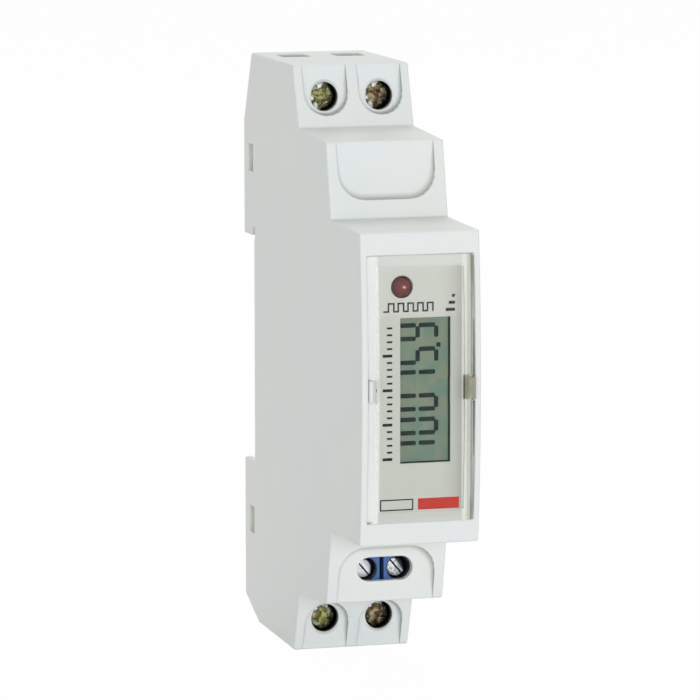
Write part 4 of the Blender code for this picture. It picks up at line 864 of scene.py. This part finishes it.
def screw_recipe():
    """Domed screw along -Y to +Y: driven head, shank and a helical thread."""
    recipe = Recipe("screw", (*TERMINAL_SCREW, "Squareness", "Turn", "Place"))
    (head_radius, head_height, dome, shank_radius, length, pitch, ridge_height,
     slot_width, slot_depth, cross_span, cross_width, cross_depth) = map(
        recipe.__getitem__, TERMINAL_SCREW)
    rows = 10  # of the dome; two more go down the head's side and under it
    grid = recipe.geo("MeshGrid", {
        "Size X": 1.0, "Size Y": 1.0, "Vertices X": 73, "Vertices Y": rows + 3})
    u, v, _ = recipe.parts(recipe.geo("InputPosition"))
    angle = (u + 0.5) * (-2 * math.pi)
    row = (v + 0.5) * (rows + 2)
    bend = (row / rows).apply("MINIMUM", 1.0) * (math.pi / 2)
    power = 2.0 / recipe["Squareness"]
    rounded = bend.apply("SINE").apply("MAXIMUM", 0.0) ** power
    fall = bend.apply("COSINE").apply("MAXIMUM", 0.0) ** power
    radius = head_radius * rounded * (1.0 - (row > rows + 1.5))
    past = row > rows + 0.5
    depth = dome * (1.0 - fall) * (1.0 - past) + head_height * past
    place = recipe.vector(radius * angle.apply("COSINE"), radius * angle.apply("SINE"),
                          0.0 - depth)
    head = recipe.geo("SetPosition", {"Geometry": grid, "Position": place})
    head = recipe.geo("MergeByDistance", {"Geometry": head, "Distance": 0.001 * MM})

    tools = [recipe.cube(x, y, deep * 2.0) for x, y, deep in (
        (slot_width, head_radius * 3.0, slot_depth), (cross_width, cross_span, cross_depth),
        (cross_span, cross_width, cross_depth))]
    driven = recipe.geo("MeshBoolean", {
        "Mesh 1": head, "Mesh 2": tools, "Self Intersection": True}, operation="DIFFERENCE",
        solver="EXACT")

    run, core = length - head_height, shank_radius - ridge_height
    shank = recipe.geo("MeshCylinder", {"Vertices": 40, "Radius": core, "Depth": run})
    half_way = (head_height + run * 0.5) * -1.0
    shank = recipe.moved(shank, recipe.vector(0.0, 0.0, half_way))
    turns = run / pitch - 1.2
    helix = recipe.geo("CurveSpiral", {
        "Resolution": 30, "Rotations": turns, "Height": turns * pitch, "Start Radius": core,
        "End Radius": core})
    ridge = recipe.geo("CurvePrimitiveCircle", {"Resolution": 6, "Radius": ridge_height})
    thread = recipe.geo("CurveToMesh", {"Curve": helix, "Profile Curve": ridge, "Fill Caps": True})
    start = (length - pitch * 0.6) * -1.0
    thread = recipe.moved(thread, recipe.vector(0.0, 0.0, start))
    turned = recipe.moved(recipe.joined(driven, shank, thread),
                          turn=recipe.vector(0.0, 0.0, recipe["Turn"] * -1.0))
    recipe.close(recipe.moved(turned, recipe["Place"], (math.pi / 2, 0.0, 0.0)))
    return recipe


def make_screws():
    recipe = screw_recipe()
    for corner, lean in SCREW_TURNED.items():
        node = f"terminal_screw_{corner}"
        x = TERMINAL_X * (-1 if corner.endswith("left") else 1)
        z = UPPER_Z if corner.startswith("top") else LOWER_Z
        screw = recipe.make(f"screw_{corner}", ZINC, Squareness=3.6, Turn=math.radians(lean),
                            Place=(x, SCREW_FRONT, z), **in_millimetres(TERMINAL_SCREW))
        hand_over(shade(screw, 38), node, "screw_zinc", node)
    for side, x in (("left", -PULSE_X), ("right", PULSE_X)):
        node = f"pulse_screw_{side}"
        screw = recipe.make(f"small_screw_{side}", STEEL, Squareness=5.0, Turn=math.radians(-40.0),
                            Place=(x, PULSE_FRONT, PULSE_Z), **in_millimetres(PULSE_SCREW))
        hand_over(shade(screw, 38), node, "pulse_screw_steel", node)


def make_led():
    """Round lens with a flange, turned finely about the lamp's axis."""
    flange, foot, steps = 1.9 * MM, -51.2 * MM, 64
    outline = []
    for i in range(13):
        a = math.pi * i / 24
        outline.append((LED_RADIUS * math.sin(a), -55.0 * MM - LED_RADIUS / 2 * math.cos(a)))
    outline += [(LED_RADIUS, foot - 0.8 * MM), (flange, foot - 0.8 * MM), (flange, foot),
                (0.0, foot)]
    compass = [2 * math.pi * i / steps for i in range(steps)]
    form = bmesh.new()
    rings = [[form.verts.new((LED_X + reach * math.cos(a), y, LED_Z + reach * math.sin(a)))
              for a in compass] for reach, y in outline]
    for a, b in zip(rings, rings[1:]):
        bridge(form, a, b)
    bmesh.ops.remove_doubles(form, verts=form.verts, dist=0.0005 * MM)
    bmesh.ops.recalc_face_normals(form, faces=form.faces)
    hand_over(shade(solid("led_dome", form, LENS), 40), "housing", "led_lens", "pulse_led")


def segment_recipe():
    """A round-ended bar on every point, turned by the point's own angle."""
    recipe = Recipe("counter_segments", ("Bar Length", "Bar Width", "Thickness", "Front"))
    outline = recipe.geo("CurvePrimitiveQuadrilateral",
                         {"Width": recipe["Bar Length"], "Height": recipe["Bar Width"]})
    outline = recipe.geo("FilletCurve", {
        "Curve": outline, "Radius": recipe["Bar Width"] * 0.36, "Count": 2}, mode="POLY")
    face = recipe.geo("FillCurve", {"Curve": outline}, mode="NGONS")
    bar = recipe.geo("ExtrudeMesh", {
        "Mesh": face, "Offset": recipe.vector(0.0, 0.0, 1.0),
        "Offset Scale": recipe["Thickness"], "Individual": False})
    angle, size = (recipe.geo("InputNamedAttribute", {"Name": label}, data_type="FLOAT")
                   for label in ("turn", "size"))
    bars = recipe.geo("InstanceOnPoints", {
        "Points": recipe["Points"], "Instance": bar, "Rotation": recipe.vector(0.0, 0.0, angle),
        "Scale": recipe.vector(size, 1.0, 1.0)})
    recipe.close(recipe.moved(bars, recipe.vector(0.0, recipe["Front"], 0.0),
                              (math.pi / 2, 0.0, 0.0)))
    return recipe


# Seven-segment counter, in millimetres: numerals run up the display, their tops to the left
LIT = {"0": "abcdef", "1": "bc", "5": "acdfg", "9": "abcdfg"}
READING = (("1", -7.74), ("0", -4.33), ("0", -0.87), ("1", 2.53), ("5", 5.88), ("9", 9.33))
DIGIT_WIDTH = 1.95
TOP_X, MIDDLE_X, FOOT_X = -3.03, -0.07, 2.72
DECIMAL_POINT = (3.05, 6.42)


def segment_points():
    """One point for each lit bar, with its turn and its share of the bar's length."""
    upper, lower = (TOP_X + MIDDLE_X) / 2, (MIDDLE_X + FOOT_X) / 2
    points = []
    for numeral, right in READING:
        left = right - DIGIT_WIDTH
        level = (left + right) / 2
        places = {"a": (TOP_X, level, 1), "g": (MIDDLE_X, level, 1), "d": (FOOT_X, level, 1),
                  "b": (upper, right, 0), "c": (lower, right, 0),
                  "f": (upper, left, 0), "e": (lower, left, 0)}
        for bar in LIT[numeral]:
            x, z, across = places[bar]
            points.append((x, z, math.pi / 2 if across else 0.0, 0.66 if across else 1.0))
    points.append((*DECIMAL_POINT, 0.0, 0.26))
    mesh = bpy.data.meshes.new("segment_points")
    mesh.from_pydata([(x * MM, z * MM, 0.0) for x, z, _, _ in points], [], [])
    for label, column in (("turn", 2), ("size", 3)):
        layer = mesh.attributes.new(label, "FLOAT", "POINT")
        layer.data.foreach_set("value", [p[column] for p in points])
    return mesh


def make_display():
    digits = segment_recipe().make("counter_segments", SEGMENT_INK, points=segment_points(), **{
        "Bar Length": 2.48 * MM, "Bar Width": 0.66 * MM, "Thickness": INK, "Front": GLASS_FRONT})
    hand_over(digits, "housing", "display_glass")
    # dark strips along the display's right and lower edges
    plates("display_dark_edges", [(4.50, 5.0, -10.6, 10.6), (-2.9, 5.0, -10.75, -10.42)],
           GLASS_FRONT, SEGMENT_INK, "display_glass")


def marks_recipe():
    """A row of scale marks up the label, every fifth one longer."""
    recipe = Recipe("scale_marks",
                    ("Count", "Pitch", "Short", "Long", "Width", "Thickness", "Place"))
    line = recipe.row()
    mark = recipe.moved(recipe.cube(1.0 * MM, recipe["Thickness"], recipe["Width"]),
                        (-0.5 * MM, 0.0, 0.0))
    index = recipe.geo("InputIndex")
    fifth = 1.0 - ((index % 5.0) > 0.5)
    reach = (recipe["Short"] + (recipe["Long"] - recipe["Short"]) * fifth) / MM
    recipe.close(recipe.geo("InstanceOnPoints", {
        "Points": line, "Instance": mark,
        "Scale": recipe.vector(reach, 1.0, 1.0 + fifth * 0.5)}))
    return recipe


def make_print():
    """Generic marks on the label; the rectangles are in millimetres."""
    marks = marks_recipe().make("scale_marks", BLACK_INK, **{
        "Count": 20, "Pitch": 1.0 * MM, "Short": 0.8 * MM, "Long": 1.45 * MM,
        "Width": 0.28 * MM, "Thickness": INK,
        "Place": (-4.05 * MM, LABEL_FRONT - INK / 2, -9.9 * MM)})
    hand_over(marks, "housing", "label_print")
    # square pulses under the lamp, and three steps beside the display's upper end
    line, half, period = 0.24, 0.9, 1.7
    low, high, x = 11.35, 12.75, -5.4
    wave = []
    for _ in range(5):
        turn, end = x + half, x + period
        wave += [(x, turn, low, low + line), (turn - line, turn, low, high),
                 (turn - line, end, high - line, high), (end - line, end, low, high)]
        x = end - line
    steps = [(5.35 - 1.4 * k / 3, 5.35, 14.3 - k, 14.75 - k) for k in (1, 2, 3)]
    plates("pulse_marks", wave + steps, LABEL_FRONT, BLACK_INK, "label_print")
    # a red field, and a blank framed one beside it
    low, high = -17.4, -15.75
    plates("red_field", [(-0.2, 6.0, low, high)], LABEL_FRONT, RED_INK, "label_print")
    left, right, line = -5.9, -0.9, 0.18
    plates("blank_field", [
        (left, right, low, low + line), (left, right, high - line, high),
        (left, left + line, low + line, high - line),
        (right - line, right, low + line, high - line)], LABEL_FRONT, BLACK_INK, "label_print")


def leads_recipe():
    """A row of component leads along Z: each runs out from the body and down to the board."""
    recipe = Recipe("component_leads",
                    ("Count", "Pitch", "Width", "Run", "Drop", "Gauge", "Place"))
    line = recipe.row()
    run, drop, gauge, width = (recipe[label] for label in ("Run", "Drop", "Gauge", "Width"))
    shoulder = recipe.moved(recipe.cube(gauge, abs(run), width),
                            recipe.vector(0.0, run * 0.5, 0.0))
    leg = recipe.moved(recipe.cube(drop, gauge, width), recipe.vector(drop * -0.5, run, 0.0))
    recipe.close(recipe.geo("InstanceOnPoints",
                            {"Points": line, "Instance": recipe.joined(shoulder, leg)}))
    return recipe


def make_inside():
    for node, finish, width in (
            ("main_board", BOARD, 0.05), ("display_board", BOARD, 0.05),
            ("board_header", EPOXY, 0.08), ("metering_chip", EPOXY, 0.12),
            ("optocoupler", WHITE_EPOXY, 0.12), ("film_capacitor", YELLOW, 0.35),
            ("electrolytic_capacitor", SLEEVE, 0.3), ("varistor", DIPPED, 0.6),
            ("power_resistor", CEMENT, 0.3)):
        softened(node, node + "_body", finish, width, segments=3)
    leads = leads_recipe()
    for name, node, count, pitch, width in (("chip_leads", "metering_chip", 12, 1.2, 0.42),
                                            ("coupler_leads", "optocoupler", 2, 2.54, 0.5)):
        low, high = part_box(node)
        x, _, z = middle(node)
        start = z - pitch * MM * (count - 1) / 2
        for edge, sign, y in (("front", -1, low[1]), ("rear", 1, high[1])):
            row = leads.make(f"{name}_{edge}", TINNED, Count=count, Place=(x, y, start),
                             Drop=x - low[0] + 0.2 * MM, **in_millimetres({
                                 "Pitch": pitch, "Width": width, "Run": sign * 0.7,
                                 "Gauge": 0.2}))
            hand_over(row, "housing", "tinned_copper")


def dress_frame():
    for node, finish in CAD_FINISH.items():
        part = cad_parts[node]
        if not part.material_slots:
            part.data.materials.append(finish.material)
        for slot in part.material_slots:
            slot.material = finish.material


# Floor, light and camera

def make_floor():
    """Wide floor, almost as bright to the camera as the backdrop."""
    form, reach = bmesh.new(), 6.0
    form.faces.new([form.verts.new((x * reach, y * reach, FLOOR_LEVEL))
                    for x, y in ((-1, -1), (1, -1), (1, 1), (-1, 1))])
    finish = Finish("floor_white", (0.90, 0.90, 0.90), 0.9, Specular_IOR_Level=0.1)
    finish.set("Roughness", 0.85 + finish.noise(finish.place(), 40.0) * 0.1)
    glow = finish.node("ShaderNodeEmission", None, {"Color": (1, 1, 1, 1), "Strength": 1.0})
    finish.mix_with(glow, finish.rays(SEEN_RAYS) * 0.98)
    solid("floor", form, finish)


def make_world(level):
    """White where it is seen, and at the level, a little green, where it only lights."""
    world = bpy.data.worlds.new("studio")
    bpy.context.scene.world = world
    world.use_nodes = True
    sheet = Sheet(world.node_tree)
    sheet.tree.nodes.clear()
    seen = sheet.rays(SEEN_RAYS)
    tint = sheet.blend((0.985, 1.0, 0.965), (1.0, 1.0, 1.0), seen)
    sky = sheet.node("ShaderNodeBackground", None,
                     {"Color": tint, "Strength": level + (1.0 - level) * seen})
    end = sheet.tree.nodes.new("ShaderNodeOutputWorld")
    sheet.feed(end.inputs["Surface"], sky)


def make_lamp(name, place, aim, size, power, colour, height=None, mirrored=True):
    """Area lamp: a disk, or a rectangle where it has a height."""
    lamp = bpy.data.lights.new(name, "AREA")
    lamp.shape = "RECTANGLE" if height else "DISK"
    lamp.size = size
    if height:
        lamp.size_y = height
    lamp.energy = power
    lamp.color = colour
    holder = bpy.data.objects.new(name, lamp)
    bpy.context.collection.objects.link(holder)
    holder.location = place
    holder.rotation_euler = (Vector(aim) - Vector(place)).to_track_quat("-Z", "Y").to_euler()
    holder.visible_glossy = mirrored


def make_camera():
    """The photograph's viewpoint: from the front left, a little above, with a long lens."""
    azimuth, elevation, roll = (math.radians(angle) for angle in (16.84, 7.51, -0.056))
    distance, aside, above = 745.7 * MM, 1.123 * MM, -1.556 * MM
    focal, picture, sensor = 4985.9, 700.0, 36.0    # pixels, pixels and millimetres
    target = Vector((0.0, -25.0 * MM, MIDDLE_Z))
    back = Vector((-math.sin(azimuth) * math.cos(elevation),
                   -math.cos(azimuth) * math.cos(elevation), math.sin(elevation)))
    right = Vector((math.cos(azimuth), -math.sin(azimuth), 0.0))
    up = back.cross(right)
    cos, sin = math.cos(roll), math.sin(roll)
    right, up = cos * right + sin * up, cos * up - sin * right
    camera = bpy.data.cameras.new("camera")
    camera.sensor_width = sensor
    camera.sensor_fit = "HORIZONTAL"
    camera.lens = sensor * focal / picture
    camera.clip_start, camera.clip_end = 0.01, 50.0
    holder = bpy.data.objects.new("camera", camera)
    bpy.context.collection.objects.link(holder)
    place = target + distance * back - aside * right - above * up
    turn = Matrix((right, up, back)).transposed().to_4x4()
    holder.matrix_world = Matrix.Translation(place) @ turn
    bpy.context.scene.camera = holder


make_mouldings()
make_spring()
make_coves()
make_metal()
make_screws()
make_window()
make_catch_tabs()
make_led()
make_display()
make_print()
make_inside()
dress_frame()

make_floor()
make_world(0.42)
make_lamp("overhead", (0.10, 0.50, 0.95), (0.0, -0.03, 0.0), 0.8, 4.6, (1.0, 1.0, 0.96))
make_lamp("front", (-0.10, -1.10, 0.11), (-0.10, 0.0, 0.11), 2.4, 9.3, (1.0, 1.0, 1.05),
          height=0.28, mirrored=False)
make_lamp("left", (-1.00, -0.15, 0.25), (0.0, -0.03, 0.0), 0.4, 0.7, (1.0, 1.0, 0.94))
make_camera()
bpy.context.scene.view_settings.view_transform = "Standard"
